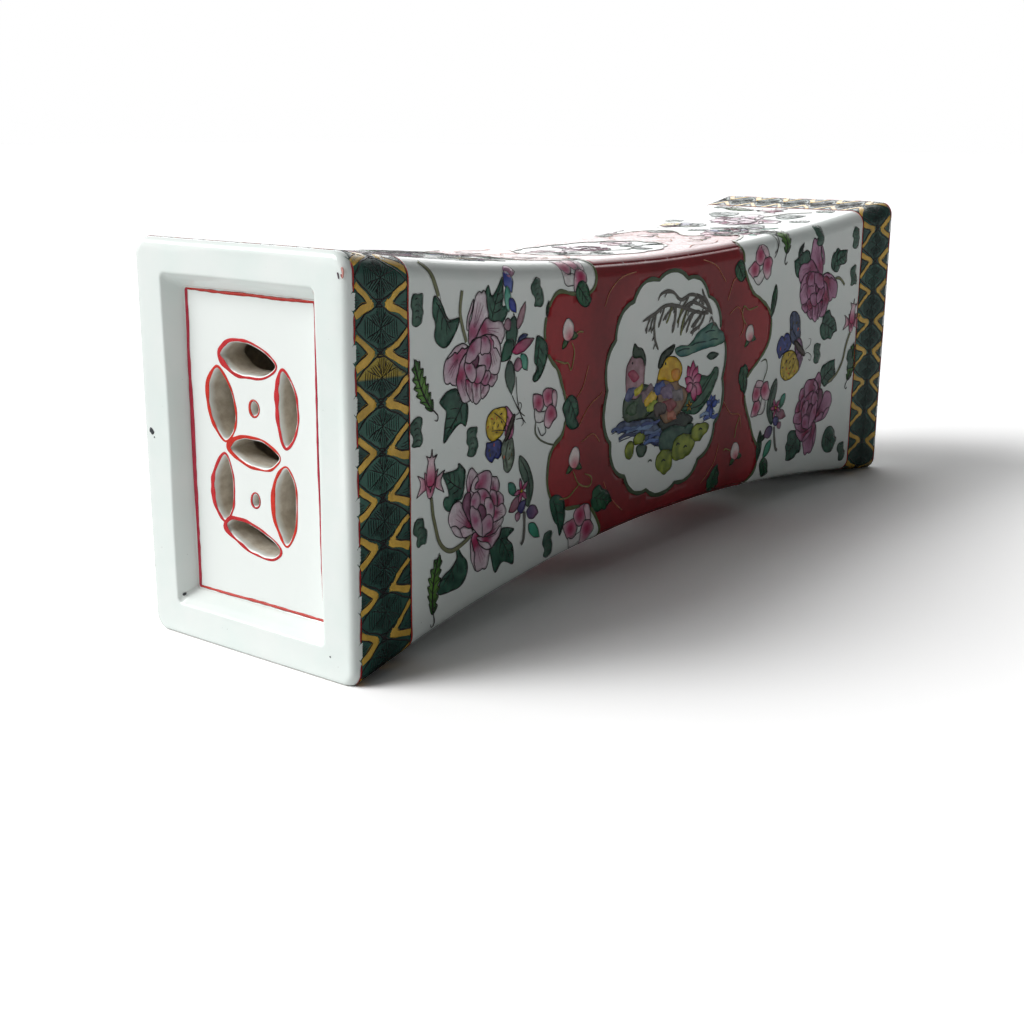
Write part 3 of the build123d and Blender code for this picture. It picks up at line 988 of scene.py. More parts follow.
class Canvas:
    """Collects washes and brush lines in the order they are painted on one face.

    A later wash covers the lines under it, so each line is cut where one passes over it."""

    STACK = 0.009
    LINES_OVER = 0.15

    def __init__(self, face, seed):
        self.face, self.seed, self.washes, self.lines, self.count = face, seed, [], [], 0

    def wash(self, ring, colour, piece, step=3.0, holes=(), covers=True):
        self.count += 1
        self.washes.append((self.count, ring, colour, piece, step, list(holes), covers))

    def stroke(self, points, width, colour=INK, piece="outlines", closed=False, ends=0.35):
        self.count += 1
        self.lines.append((self.count, np.asarray(points, float), width, colour, piece, closed, ends))

    def shape(self, ring, colour, piece, step=3.0, outline=0.32, ink=INK):
        """A wash with an outline round it."""
        self.wash(ring, colour, piece, step)
        if outline:
            self.stroke(ring, outline, ink, closed=True)

    def dry(self, prefix, finishes):
        """Lays every wash and line on the body, one piece for each kind."""
        pieces, levels = {}, []
        for n, (order, ring, colour, piece, step, holes, covers) in enumerate(self.washes):
            under = [levels[m] for m in range(n) if rings_meet(ring, self.washes[m][1])]
            level = 1 + max(under) if under else 0
            levels.append(level)
            enamel = pieces.setdefault(piece, Enamel())
            enamel.fill(self.face, [ring, *holes], level * self.STACK / LEVEL_STEP, colour, step)
        for order, points, width, colour, piece, closed, ends in self.lines:
            keep = np.ones(len(points), bool)
            for wash in self.washes:
                if wash[0] > order and wash[6] and boxes_meet(points, wash[1]):
                    keep &= ~inside(points, wash[1])
            enamel = pieces.setdefault(piece, Enamel())
            seed = self.seed + order
            height = self.LINES_OVER / LEVEL_STEP
            if keep.all():
                enamel.line(self.face, points, width, height, colour, closed, ends, seed)
                continue
            if closed:
                first = int(np.argmin(keep))
                points, keep = np.roll(points, -first, 0), np.roll(keep, -first)
            cuts = np.flatnonzero(np.diff(np.r_[0, keep.astype(int), 0]))
            for start, stop in zip(cuts[::2], cuts[1::2]):
                if stop - start > 1:
                    enamel.line(self.face, points[start:stop], width, height, colour, False, 0.8, seed)
        for piece, enamel in pieces.items():
            if enamel.points:
                enamel.lay(prefix + "_" + piece, finish_named(finishes.get(piece, "enamel_finish")))


def blend(a, b, share):
    """A pigment between two, share given for each point."""
    share = np.clip(share, 0, 1)[:, None]
    return np.asarray(a, float) * (1 - share) + np.asarray(b, float) * share


def from_point(at, near_colour, far_colour, reach, soft=1.0):
    """A wash that is darkest near a point."""

    def colour(p):
        away = np.hypot(p[:, 0] - at[0], p[:, 1] - at[1]) / reach
        return blend(near_colour, far_colour, away**soft)

    return colour


def mottled(dark, light, seed, size=3.5):
    """A wash that wanders between two tones."""

    def colour(p):
        share = [0.5 + 0.9 * noise.noise(Vector((a / size, b / size, seed * 3.3))) for a, b in p]
        return blend(dark, light, np.array(share))

    return colour


# ---------------------------------------------------------------- motifs, in mm about their own middle


# Each peony's petals from the outermost in: what the petal is, the middle and reach of its blush, its outline in mm
PEONY_PETALS = {
    "tall": (
        ("outer", (-3.4, 10.4, 3.0), ((-5.8, 6.8), (-5.9, 11.7), (-4.2, 15.8), (-2.9, 19.7), (-1.6, 22.1), (0, 23.1), (1, 22.4), (2.4, 23.1), (3.8, 21.4), (4.1, 18.8), (5.2, 15.4), (4.6, 13.8), (3, 13.2), (0.4, 11.2), (-1.8, 8.6), (-3.8, 7.6))),
        ("edge", None, ((-7.1, 11.8), (-6.8, 15.4), (-5, 18.8), (-3.3, 20.8), (-4, 18), (-5.6, 14.6), (-6, 11.4))),
        ("outer", (2.8, 10.6, 3.0), ((-1.6, 8.6), (0.8, 11.8), (3, 13.6), (4.8, 14.1), (6.8, 13.1), (8.4, 12.5), (10.8, 12.7), (12.6, 12), (14.4, 10), (14.7, 8.2), (13.5, 6), (12.2, 4.8), (9.4, 6.2), (5.4, 7.8), (1.4, 8.2))),
        ("outer", (-11.2, 3.6, 4.6), ((-6.2, 6.2), (-9.6, 7.4), (-13, 6.8), (-16, 5.1), (-18.8, 3), (-19.9, 0.6), (-19.6, -2), (-18.8, -3.9), (-17.2, -4.4), (-16.2, -4.1), (-15, -5.2), (-13, -5.7), (-11.8, -4.4), (-11, -1.4), (-9.2, 1.4), (-7.4, 3.6))),
        ("edge", None, ((-6.6, 6.4), (-9.6, 7.4), (-13, 6.8), (-16, 5.1), (-18.2, 3.5), (-15.6, 4.2), (-13.6, 5.1), (-12.6, 4.4), (-11.2, 5.1), (-9.6, 6.1), (-8, 5.6))),
        ("outer", (-11.0, -3.2, 3.4), ((-7.4, 3.8), (-10.2, 2), (-12, -1.4), (-13, -4.2), (-12.6, -6.2), (-11, -9.4), (-9.8, -11.2), (-7.6, -11.9), (-5.2, -11.4), (-5.6, -9.6), (-6.8, -6.8), (-7.2, -3.4), (-7.4, -0.2))),
        ("outer", (-6.6, -5.0, 1.6), ((-7.6, -4.4), (-7.2, -8), (-5.4, -11), (-4, -12.4), (-3.5, -10.4), (-3.6, -6.4), (-5.2, -5))),
        ("outer", (-1.6, -6.0, 1.6), ((-4.2, -6), (-3.8, -10.4), (-3.2, -12.6), (-1.8, -13.4), (-0.4, -12.8), (0.9, -11.4), (1.4, -9.2), (1.2, -6), (-1.6, -5.4))),
        ("outer", (2.8, -6.4, 1.8), ((0.9, -6.6), (1.1, -11.6), (3, -11.7), (4.6, -10.4), (5.6, -9), (4.8, -6.8), (3, -5.8))),
        ("outer", (5.8, -5.2, 1.8), ((4, -3.2), (6.2, -4.2), (8.2, -4.2), (10.2, -5), (10.4, -6.6), (8.8, -7.8), (7, -8.8), (5.4, -8.2), (4, -7))),
        ("outer", (5.8, 5.8, 2.4), ((-1.8, 7.6), (1.4, 8.6), (5, 8.9), (8.4, 8), (10.6, 6.4), (12, 4), (12.5, 1.6), (12.4, -0.6), (12, -2.6), (10.6, -4.8), (8.6, -5), (6.2, -4.1), (4.2, -2.4), (3.8, 1.2), (2.4, 5.2))),
        ("edge", None, ((6.4, 7.8), (8, 5.8), (7.8, 4), (9.8, 3.6), (12.3, 0.4), (12, 4), (10.6, 6.4), (8.5, 8))),
        ("outer", (3.0, -6.0, 2.2), ((0.8, -6), (2.2, -7.6), (4.4, -7.8), (5.4, -6.4), (6.2, -4.2), (4.4, -2.8), (2, -3.2))),
        ("inner", (4.5, 0.1, 2.4), ((-0.8, 3.6), (1.4, 3.4), (5, 3.2), (6.5, 1.8), (6.6, -0.6), (5.8, -2.4), (4.6, -3.2), (3, -2.2), (0.2, -1), (-1.6, 0.4))),
        ("inner", (-1.2, -5.6, 2.6), ((-2.2, -2.2), (-0.8, -0.9), (1, -0.7), (3, -1), (3.7, -2), (3.2, -3.8), (1.6, -5.8), (0, -6.5), (-1.8, -6.5), (-3, -5.6))),
        ("inner", (-6.0, -0.6, 2.6), ((-8, 1.4), (-6.2, 1), (-4.6, 0.8), (-2.8, -0.4), (-2, -2), (-1.8, -4), (-2.8, -5.5), (-4.6, -5.5), (-6.4, -4.2), (-7.8, -2.2), (-8.5, -0.2))),
        ("heart", None, ((-4.2, 1.2), (-2.8, 2.4), (-1, 3), (-0.4, 1.4), (-1.2, -0.6), (-2.6, -1.2), (-3.4, 0))),
        ("inner", (-4.2, 6.2, 3.4), ((-7.9, 2.2), (-6.8, 4.8), (-5, 6.8), (-2.4, 8), (0.2, 8.4), (1.6, 7.6), (1.7, 6), (1, 4.4), (0.5, 3.4), (-1, 2.9), (-2.4, 1.6), (-4, 1.1), (-5.4, 0.5), (-7, 0.9), (-7.9, 1.5))),
        ("inner", (3.2, 7.2, 2.6), ((1.2, 8.4), (3.8, 8.4), (5.6, 7), (6.4, 4.8), (6, 3), (4.6, 2.4), (3, 2.7), (1.6, 2.4), (0.7, 3.4), (1, 5.6))),
    ),
    "trailing": (
        ("outer", (-7.5, 7.5, 2.4), ((-7.1, 6.1), (-9.1, 7.9), (-9.4, 11.9), (-8.7, 14.3), (-7.1, 15.8), (-5.7, 15.4), (-4.5, 14.3), (-3.3, 13.1), (-4.3, 10.9), (-5.7, 8.5))),
        ("outer", (-1.1, 9.5, 3.2), ((-7.5, 4.5), (-7.1, 9.1), (-5.9, 11.3), (-3.5, 12.9), (-0.9, 13.4), (1.7, 13.5), (3.9, 12.9), (5.3, 11.1), (5.8, 9.1), (5.3, 6.9), (4.5, 4.9), (2.5, 5.1), (-0.1, 6.5), (-3.9, 6.5))),
        ("edge", None, ((-7, 8.5), (-5.8, 11.2), (-3.7, 12.6), (-2.7, 10.9), (-4.1, 9.9), (-4.5, 8.3), (-2.1, 7.9), (-4.5, 7.1))),
        ("outer", (6.1, 5.7, 1.8), ((5.3, 10.7), (6.5, 10.3), (7.9, 10.1), (9.1, 8.7), (9.7, 6.7), (9.3, 4.7), (7.9, 3.9), (5.7, 4.5), (4.5, 6.3), (4.9, 8.3))),
        ("outer", (9.1, 1.1, 2.0), ((8.7, 4.9), (10.7, 3.9), (11.9, 2.3), (12.3, -0.1), (10.5, -0.9), (8.1, -0.1), (7.9, 2.5))),
        ("outer", (6.1, 1.9, 2.2), ((4.5, 6.1), (6.3, 5.9), (7.9, 4.7), (8.5, 2.9), (8.5, 0.1), (6.7, -0.5), (4.9, 1.5), (3.9, 3.9))),
        ("outer", (4.1, -8.3, 2.2), ((6.1, -5.5), (8.9, -5.1), (11.9, -4.9), (11.1, -7.1), (8.7, -8.7), (5.7, -9.6), (2.9, -9.9), (0.9, -9.1), (4.5, -6.9))),
        ("outer", (6.9, -2.5, 2.0), ((6.1, 0.3), (8.7, -0.2), (11.3, 0.1), (12.9, -1.1), (13.7, -2.9), (12.9, -4.5), (10.9, -5), (8.5, -5.4), (5.9, -5.3), (5.5, -2.5))),
        ("outer", (-7.5, -4.1, 4.4), ((-6.3, -4.1), (-8.7, -0.9), (-11.1, 2.9), (-12.7, 5.5), (-14.7, 6.4), (-17.3, 5.5), (-19.1, 3.7), (-19.8, 1.3), (-19.1, -0.9), (-17.7, -2.4), (-15.5, -3.5), (-13.3, -4.9), (-10.9, -5.5), (-7.7, -6.3), (-5.9, -6.1))),
        ("edge", None, ((-18.1, -1.9), (-16.1, -1.8), (-14.1, -2.9), (-12.3, -4.9), (-11.1, -6.7), (-13.9, -6.2), (-16.3, -4.7))),
        ("edge", (-7.5, -5.7, 2.6), ((-12.9, -3.5), (-10.9, -3), (-8.7, -4.3), (-6.9, -4.7), (-5.7, -6.6), (-7.9, -7), (-11.1, -6.8), (-12.3, -5.3))),
        ("heart", None, ((-7.5, 7.5), (-9.5, 8.1), (-11.1, 6.9), (-11.7, 3.9), (-9.9, 0.5), (-7.5, -2.1), (-6.7, 0.5), (-7.1, 4.5))),
        ("outer", (-4.1, -9.5, 4.2), ((-4.9, -6.5), (-6.7, -7.9), (-7.3, -10.1), (-7.1, -13.9), (-5.9, -17.5), (-3.9, -20.1), (-1.9, -20.6), (-0.5, -20.2), (1.3, -20.7), (2.7, -19.7), (3.3, -17.1), (4.1, -14.1), (2.9, -11.1), (-0.1, -9.1), (-2.9, -7.1))),
        ("edge", None, ((-6.9, -8.5), (-7.3, -11.1), (-6.9, -14.9), (-5.3, -18.5), (-4.3, -19.7), (-4.9, -16.9), (-4.7, -13.9), (-5.7, -11.9))),
        ("outer", (2.1, -10.5, 2.8), ((-3.5, -8.5), (-0.5, -8.9), (2.9, -9.5), (6.5, -9.5), (9.7, -7.9), (10.7, -8.1), (10.1, -10.3), (8.1, -12.1), (5.9, -13.9), (4.1, -14.2), (1.5, -13.7), (-0.9, -12.1), (-2.7, -10.3))),
        ("edge", None, ((-3.1, -9.1), (-1.1, -10.5), (1.9, -11.5), (3.7, -12.5), (4.9, -14.1), (3.1, -14.2), (0.5, -13.3), (-1.9, -11.3))),
        ("inner", (0.9, 5.1, 2.6), ((-3.3, 7.2), (-1.1, 7.7), (1.3, 7), (3.5, 5.5), (4.9, 3.1), (3.1, 1.9), (-0.1, 1.1), (-1.7, 2.5), (-1.9, 4.9))),
        ("inner", (4.7, 0.5, 1.6), ((1.1, 3.6), (3.5, 3.9), (5.3, 2.5), (6.5, 0.5), (6.6, -1.9), (5.7, -3.7), (3.9, -3.1), (2.1, -2.3), (0.9, -0.3))),
        ("inner", (-5.1, 4.3, 2.2), ((-7.5, 2.9), (-7.1, 5.3), (-5.5, 6.7), (-3.5, 7.2), (-2, 6.1), (-1.3, 4.5), (-1.6, 2.7), (-2.5, 0.9), (-4.3, 0.9), (-5.9, 1.5))),
        ("heart", None, ((-3.3, 0.7), (-1.3, 2.5), (0.5, 1.7), (1.7, -0.3), (1.9, -2.9), (-0.1, -4.7), (-1.5, -2.9))),
        ("inner", (3.1, -5.7, 2.8), ((-0.7, -4.1), (1.3, -2.6), (3.3, -2), (5.1, -2.9), (6, -4.9), (5.6, -7.1), (4.3, -8.3), (2.1, -8.8), (-0.4, -9))),
        ("inner", (-5.1, -2.3, 2.8), ((-7.3, 2.3), (-6.1, 3), (-4.9, 1.8), (-3.1, 0.9), (-1.8, -0.7), (-0.9, -3.1), (-0.4, -5.5), (-0.3, -8.7), (-1.9, -8.4), (-4.1, -6.7), (-6.3, -4.3), (-7.3, -1.1))),
    ),
}


def peony(canvas, at, kind="tall", size=1.0, turn=0.0, flip=False, seed=1, piece="peonies", shade=(1.0, 1.0, 1.0)):
    """A full peony: pale mauve petals with a crimson blush, turned edges, thin ink outlines and fine veins."""
    shade = np.array(shade)
    at = np.asarray(at, float)
    for n, (part, blush, outline) in enumerate(PEONY_PETALS[kind]):
        s = seed * 31 + n
        ring = scalloped(run(outline, closed=True, step=0.6), s, 0.16 if part == "outer" else 0.08)
        ring = hand(placed(ring, at, turn, size, flip), s, 0.3, 5.0)
        heart = placed([blush[:2]], at, turn, size, flip)[0] if blush else ring.mean(0)
        reach = (blush[2] if blush else 2.0) * size
        deep = blend(CRIMSON, MAUVE, np.array([0.25 + 0.6 * noise.noise(Vector((s * 1.7, 0.3, 4.1)))]))[0]

        def colour(p, part=part, heart=heart, reach=reach, deep=deep, s=s):
            away = np.hypot(p[:, 0] - heart[0], p[:, 1] - heart[1]) / reach
            drift = np.array([noise.noise(Vector((a / 3.2, b / 3.2, s * 1.9))) for a, b in p])
            if part == "edge":
                return blend(PETAL, PETAL_EDGE, 0.6 + drift) * shade
            if part == "heart":
                return blend((104, 60, 84), MAUVE, 0.45 + 0.9 * drift) * shade
            petal = blend(PETAL, PETAL_EDGE, 0.35 + 0.16 * away + 0.9 * drift)
            blushed = blend_rows(petal, MAUVE, 0.85 - 0.36 * away + 0.3 * drift)
            return blend_rows(blushed, deep, (1.3 if part == "outer" else 0.85) - 1.1 * away + 0.7 * drift) * shade

        canvas.wash(ring, colour, piece, step=1.1)
        if part == "outer":
            tip = ring[np.argmax(np.hypot(ring[:, 0] - heart[0], ring[:, 1] - heart[1]))]
            across = np.array([heart[1] - tip[1], tip[0] - heart[0]])
            for k in (-0.16, 0.0, 0.16):
                vein = [heart + (tip - heart) * t + across * k * t**0.8 for t in (0.1, 0.32, 0.52, 0.7)]
                canvas.stroke(run(vein, step=0.9), 0.18, (150, 88, 116))
        canvas.stroke(ring, 0.36, closed=True)


def scalloped(ring, seed, depth):
    """The ring with a shallow scallop run along it, as a petal's edge has."""
    along = np.gradient(ring, axis=0)
    along /= np.maximum(np.hypot(along[:, 0], along[:, 1]), 1e-9)[:, None]
    walked = np.r_[0, np.cumsum(np.hypot(*np.diff(ring, axis=0).T))]
    wave = np.abs(np.sin(walked / walked[-1] * math.pi * max(4, round(walked[-1] / 5)) + seed)) - 0.6
    return ring + np.stack([along[:, 1], -along[:, 0]], 1) * (wave * depth)[:, None]


def blend_rows(rows, b, share):
    share = np.clip(share, 0, 1)[:, None]
    return rows * (1 - share) + np.asarray(b, float) * share


LEAVES = {
    "heart": ((0, 0), (0.02, 0.24), (0.2, 0.46), (0.45, 0.47), (0.72, 0.3), (1, 0), (1, 0), (0.74, -0.26),
              (0.48, -0.42), (0.2, -0.45), (0.03, -0.22)),
    "ivy": ((0, 0), (-0.04, 0.24), (0.08, 0.44), (0.26, 0.54), (0.42, 0.42), (0.6, 0.4), (0.78, 0.3), (1, 0.04), (1, 0.04),
            (0.84, -0.12), (0.74, -0.34), (0.56, -0.38), (0.4, -0.52), (0.2, -0.5), (0.04, -0.34), (-0.04, -0.16)),
    "three": ((0, 0), (0.02, 0.28), (0.24, 0.5), (0.44, 0.44), (0.62, 0.38), (0.98, 0.2), (0.98, 0.2),
              (0.86, -0.02), (0.8, -0.34), (0.56, -0.46), (0.3, -0.36), (0.08, -0.3)),
    "round": ((0, 0), (0.08, 0.34), (0.36, 0.5), (0.66, 0.44), (0.8, 0.3), (0.98, 0.26), (1.0, 0.0), (0.92, -0.26),
              (0.72, -0.42), (0.4, -0.48), (0.1, -0.36)),
    "blade": ((0, 0), (0.2, 0.26), (0.5, 0.32), (0.78, 0.2), (1, 0), (1, 0), (0.76, -0.14), (0.46, -0.22), (0.18, -0.16)),
}


def leaf(canvas, at, turn, length, width, kind="ivy", seed=1, dark=LEAF, light=LEAF_LIGHT, piece="leaves"):
    """A leaf from its base, with ink outline, midrib and side veins."""
    size = (length, width)
    ring = placed(np.array(LEAVES[kind]) * size, at, turn)
    ring = hand(run(ring, closed=True, step=0.7), seed, 0.4, 5.0)
    canvas.shape(ring, mottled(dark, light, seed, 3.0), piece, step=1.6)
    rib = placed(np.array([(0.05, 0), (0.35, 0.03), (0.65, 0.0), (0.88, 0.02)]) * size, at, turn)
    canvas.stroke(run(rib, step=0.9), 0.3)
    for t, side in ((0.18, 1), (0.18, -1), (0.4, 1), (0.42, -1), (0.6, 1), (0.62, -1)):
        reach = 0.30 if t < 0.5 else 0.2
        vein = placed(np.array([(t, 0.02), (t + 0.12, side * reach * 0.6), (t + 0.2, side * reach)]) * size, at, turn)
        canvas.stroke(run(vein, step=0.8), 0.2)


def painted_leaf(canvas, outline, base, tip, seed=1, dark=LEAF, light=LEAF_LIGHT):
    """A leaf whose outline lies where it is on the face, with a midrib from base to tip and side veins."""
    ring = hand(run(outline, closed=True, step=0.7), seed, 0.2, 5.0)
    canvas.shape(ring, mottled(dark, light, seed, 3.0), "leaves", step=1.6)
    base, tip = np.array(base, float), np.array(tip, float)
    way = tip - base
    side = np.array([-way[1], way[0]])
    canvas.stroke(run([base + way * 0.04, base + way * 0.4 + side * 0.03, base + way * 0.88], step=0.9), 0.3)
    for t, reach in ((0.16, 0.26), (0.2, -0.26), (0.4, 0.26), (0.44, -0.24), (0.62, 0.18), (0.66, -0.16)):
        vein = [base + way * t, base + way * (t + 0.1) + side * reach * 0.6, base + way * (t + 0.2) + side * reach]
        vein = run(vein, step=0.8)
        vein = vein[inside(vein, ring)]
        if len(vein) > 2:
            canvas.stroke(vein, 0.22)


def stem(canvas, points, width=1.0, colour=STEM, seed=1):
    """A stem drawn as a grey green band between two ink lines."""
    line = hand(run(points, step=1.0), seed, 0.3, 8.0)
    along = np.gradient(line, axis=0)
    along /= np.maximum(np.hypot(along[:, 0], along[:, 1]), 1e-9)[:, None]
    square = np.stack([-along[:, 1], along[:, 0]], 1) * width / 2
    canvas.stroke(line, width, colour, "stems", ends=0.8)
    canvas.stroke(line + square, 0.22)
    canvas.stroke(line - square, 0.22)


def fern(canvas, at, turn, length, width, seed=1, flip=False):
    """A serrated curling spray, lime green at its heart."""
    steps = np.linspace(0.08, 0.92, 13)
    left, right = [], []
    for n, t in enumerate(steps):
        half = width / 2 * math.sin(math.pi * (0.12 + 0.76 * t)) * (1 if n % 2 else 0.6)
        bend = math.sin(t * math.pi) * 1.6
        left.append((length * (t + (0.05 if n % 2 else 0)), bend + half))
        right.append((length * (t + (0.03 if n % 2 else 0)), bend - half))
    outline = [(0.04 * length, 0.4)] + left + [(length * 0.99, 0.2)] + right[::-1]
    ring = hand(placed(run(outline, closed=True, step=0.6), at, turn, 1.0, flip), seed, 0.3, 4.0)
    heart = placed([(length * 0.5, 1.0)], at, turn, 1.0, flip)[0]
    canvas.shape(ring, from_point(heart, (112, 160, 70), (58, 104, 62), length * 0.5, 1.0), "leaves", step=1.4)
    curl = [(length * 1.02, 0.5), (length * 0.8, 1.4), (length * 0.5, 1.8), (length * 0.15, 0.8), (-0.10 * length, -1.2),
            (-0.17 * length, -0.2), (-0.12 * length, 0.9)]
    canvas.stroke(run(placed(curl, at, turn, 1.0, flip), step=0.8), 0.6)
    for n, t in enumerate(steps[1::2]):
        for side in (1, -1):
            half = width / 2 * math.sin(math.pi * (0.12 + 0.76 * t)) * 0.8 * side
            bend = math.sin(t * math.pi) * 1.6
            vein = placed([(length * (t - 0.07), bend), (length * (t - 0.01), bend + half * 0.5), (length * (t + 0.04), bend + half * 1.15)], at, turn, 1.0, flip)
            canvas.stroke(run(vein, step=0.6), 0.26, ends=0.6)


def pebble(canvas, at, turn=90.0, length=9.5, width=6.0, seed=1):
    """A small dark rock with a dented edge and hatching."""
    outline = ((-0.5, 0.1), (-0.4, 0.45), (-0.1, 0.36), (0.15, 0.52), (0.45, 0.38), (0.52, 0.0), (0.42, -0.42),
               (0.1, -0.38), (-0.15, -0.5), (-0.46, -0.34))
    ring = placed(run(np.array(outline) * (length, width), closed=True, step=0.6), at, turn)
    ring = hand(ring, seed, 0.9, 3.0)
    canvas.shape(ring, mottled((52, 84, 72), (92, 124, 108), seed, 2.5), "rocks", step=1.6, outline=0.22)
    for n in range(4):
        a = -0.3 + 0.2 * n
        mark = placed(np.array([(a, -0.22 + 0.1 * (n % 2)), (a + 0.08, 0.0), (a + 0.02, 0.2)]) * (length, width), at, turn)
        canvas.stroke(run(mark, step=0.8), 0.2)


def lotus_bud(canvas, at, turn=0.0, size=1.0, seed=1):
    """A pink bud standing in a crown of pointed petals."""
    crown = (
        ((0, -1), (-4.5, -3.2), (-7.4, -4.6), (-7.4, -4.6), (-5.4, -0.6), (-7.2, 2.6), (-7.2, 2.6), (-3.0, 0.8)),
        ((0, -1), (4.5, -3.2), (7.4, -4.6), (7.4, -4.6), (5.6, -0.4), (7.4, 2.8), (7.4, 2.8), (3.2, 1.0)),
        ((-2.8, -0.4), (-3.4, 3.2), (-3.4, 3.2), (-1.0, 1.2), (0, -3.6), (0, -3.6), (1.2, 1.2), (3.6, 3.6), (3.6, 3.6), (2.8, -0.4), (1.4, -4.6),
         (0, -5.6), (-1.4, -4.6)),
        ((-2.0, -0.6), (-2.2, 3.8), (-1.6, 6.2), (-2.9, 8.4), (-2.9, 8.4), (-0.6, 7.8), (0.1, 10.4), (0.1, 10.4), (0.9, 7.8),
         (3.0, 8.2), (3.0, 8.2), (1.7, 6.0), (2.2, 3.6), (2.0, -0.6), (0, -1.8)),
    )
    for n, outline in enumerate(crown):
        ring = hand(placed(run(outline, closed=True, step=0.6), at, turn, size), seed + n, 0.3, 3.0)
        heart = placed([(0, -0.6)], at, turn, size)[0]
        canvas.shape(ring, from_point(heart, (178, 44, 92), (228, 200, 208), 6.0 * size, 0.9), "blossoms", step=1.1)


def star_bloom(canvas, at, turn=0.0, size=1.0, seed=1, heart=(190, 38, 90), tip=(226, 150, 182), petals=5):
    """A small open blossom of narrow pointed petals."""
    for n in range(petals):
        angle = 360 / petals * n + 14 * noise.noise(Vector((seed * 1.9, n * 2.3, 0.3)))
        outline = ((0, 0), (1.6, 1.0), (4.0, 1.3), (6.6, 0.2), (6.6, 0.2), (4.0, -1.2), (1.6, -0.9))
        ring = run(placed(outline, (0, 0), angle), closed=True, step=0.6)
        canvas.shape(hand(placed(ring, at, turn, size), seed + n, 0.3, 3.0),
                     from_point(at, heart, tip, 5.5 * size, 1.0), "blossoms", step=1.2, outline=0.26)
    ring = placed(run([(1, 0), (0, 1), (-1, 0), (0, -1)], closed=True, step=0.4), at, turn, size)
    canvas.shape(ring, (226, 190, 70), "blossoms", step=1.0, outline=0.2)


def slim_petal(canvas, at, turn, length, width, near_colour, far_colour, seed=1, piece="blossoms"):
    outline = np.array([(0, 0), (0.26, 0.5), (0.66, 0.48), (1, 0), (1, 0), (0.66, -0.44), (0.28, -0.48)]) * (length, width)
    ring = hand(placed(run(outline, closed=True, step=0.6), at, turn), seed, 0.25, 3.0)
    canvas.shape(ring, from_point(at, near_colour, far_colour, length, 1.0), piece, step=1.2, outline=0.26)


def butterfly(canvas, at, turn=0.0, size=1.0, flip=False, seed=1, wings=None):
    """A butterfly with four spotted wings and curled feelers."""
    upper, side, lower, tail = wings or ((232, 192, 40), (196, 110, 150), (110, 130, 112), (44, 56, 130))
    parts = (
        (tail, ((-9.4, -1.6), (-6.4, -2.2), (-3, -1.8), (-0.4, -3.4), (-0.8, -7.2), (-2.6, -8.6), (-4.6, -8), (-6.2, -9.2), (-8.6, -7.8),
                (-10.2, -5.6), (-9.8, -3.4))),
        (lower, ((2, -2), (5.6, -2.6), (7, -5.5), (7.4, -9), (6.2, -12.6), (3.6, -14.2), (1.2, -13), (0.4, -9.5), (-0.6, -6), (0, -3.5))),
        (side, ((1.5, 8.6), (4, 7.2), (6.2, 5), (6.8, 1), (5.8, -2.5), (3, -3), (1.4, -0.5), (2, 3))),
        (upper, ((-9.6, 5.6), (-8, 7.6), (-4.5, 8.8), (-1, 9), (1.5, 8.6), (2.6, 6.5), (2, 3), (0.2, 0), (-3, -1.6), (-6.4, -2),
                 (-8.8, 0.4), (-9.8, 3.2))),
    )
    for n, (colour, outline) in enumerate(parts):
        ring = hand(placed(run(outline, closed=True, step=0.6), at, turn, size, flip), seed + n, 0.4, 4.0)
        lighter = tuple(min(255, c + 34) for c in colour)
        darker = tuple(int(c * 0.72) for c in colour)
        canvas.shape(ring, mottled(darker, lighter, seed + n, 1.6), "butterflies", step=1.0)
        middle = ring.mean(0)
        for k in range(11 if n == 3 else 4):
            a = seed + n * 2.1 + k * 2.4
            spot = middle + np.array([1.3 * math.cos(a), math.sin(a)]) * (1.0 + 0.36 * k if n == 3 else 1.9) * size
            dot = run(placed(np.array([(0.75, 0), (0, 0.32), (-0.75, 0.1), (0, -0.32)]) * size, spot, 40 + 23 * k), closed=True, step=0.4)
            if inside(dot, ring).all():
                canvas.wash(dot, ((92, 84, 40), (70, 62, 44), (212, 96, 50))[k % 3], "butterflies", step=1.0)
    for line in (((7, 4.6), (9.6, 5.2), (11.4, 7.4), (10.4, 8.8), (9.4, 7.8)), ((8, 3.2), (11.6, 3.0), (12.6, 1.2), (11.2, 0.4)),
                 ((4, 0.6), (0, 4.4), (-5, 7.6)), ((3.6, 0), (-2, 1.2), (-6.6, 1.6)), ((4, -3), (2, -8), (3, -13))):
        canvas.stroke(run(placed(line, at, turn, size, flip), step=0.7), 0.28)
    body = run([(1.4, -3.0), (3.0, 1.0), (6.2, 5.0), (7.6, 4.6), (6.4, 1.6), (3.4, -2.6)], closed=True, step=0.6)
    canvas.shape(placed(body, at, turn, size, flip), (70, 60, 54), "butterflies", step=1.2)


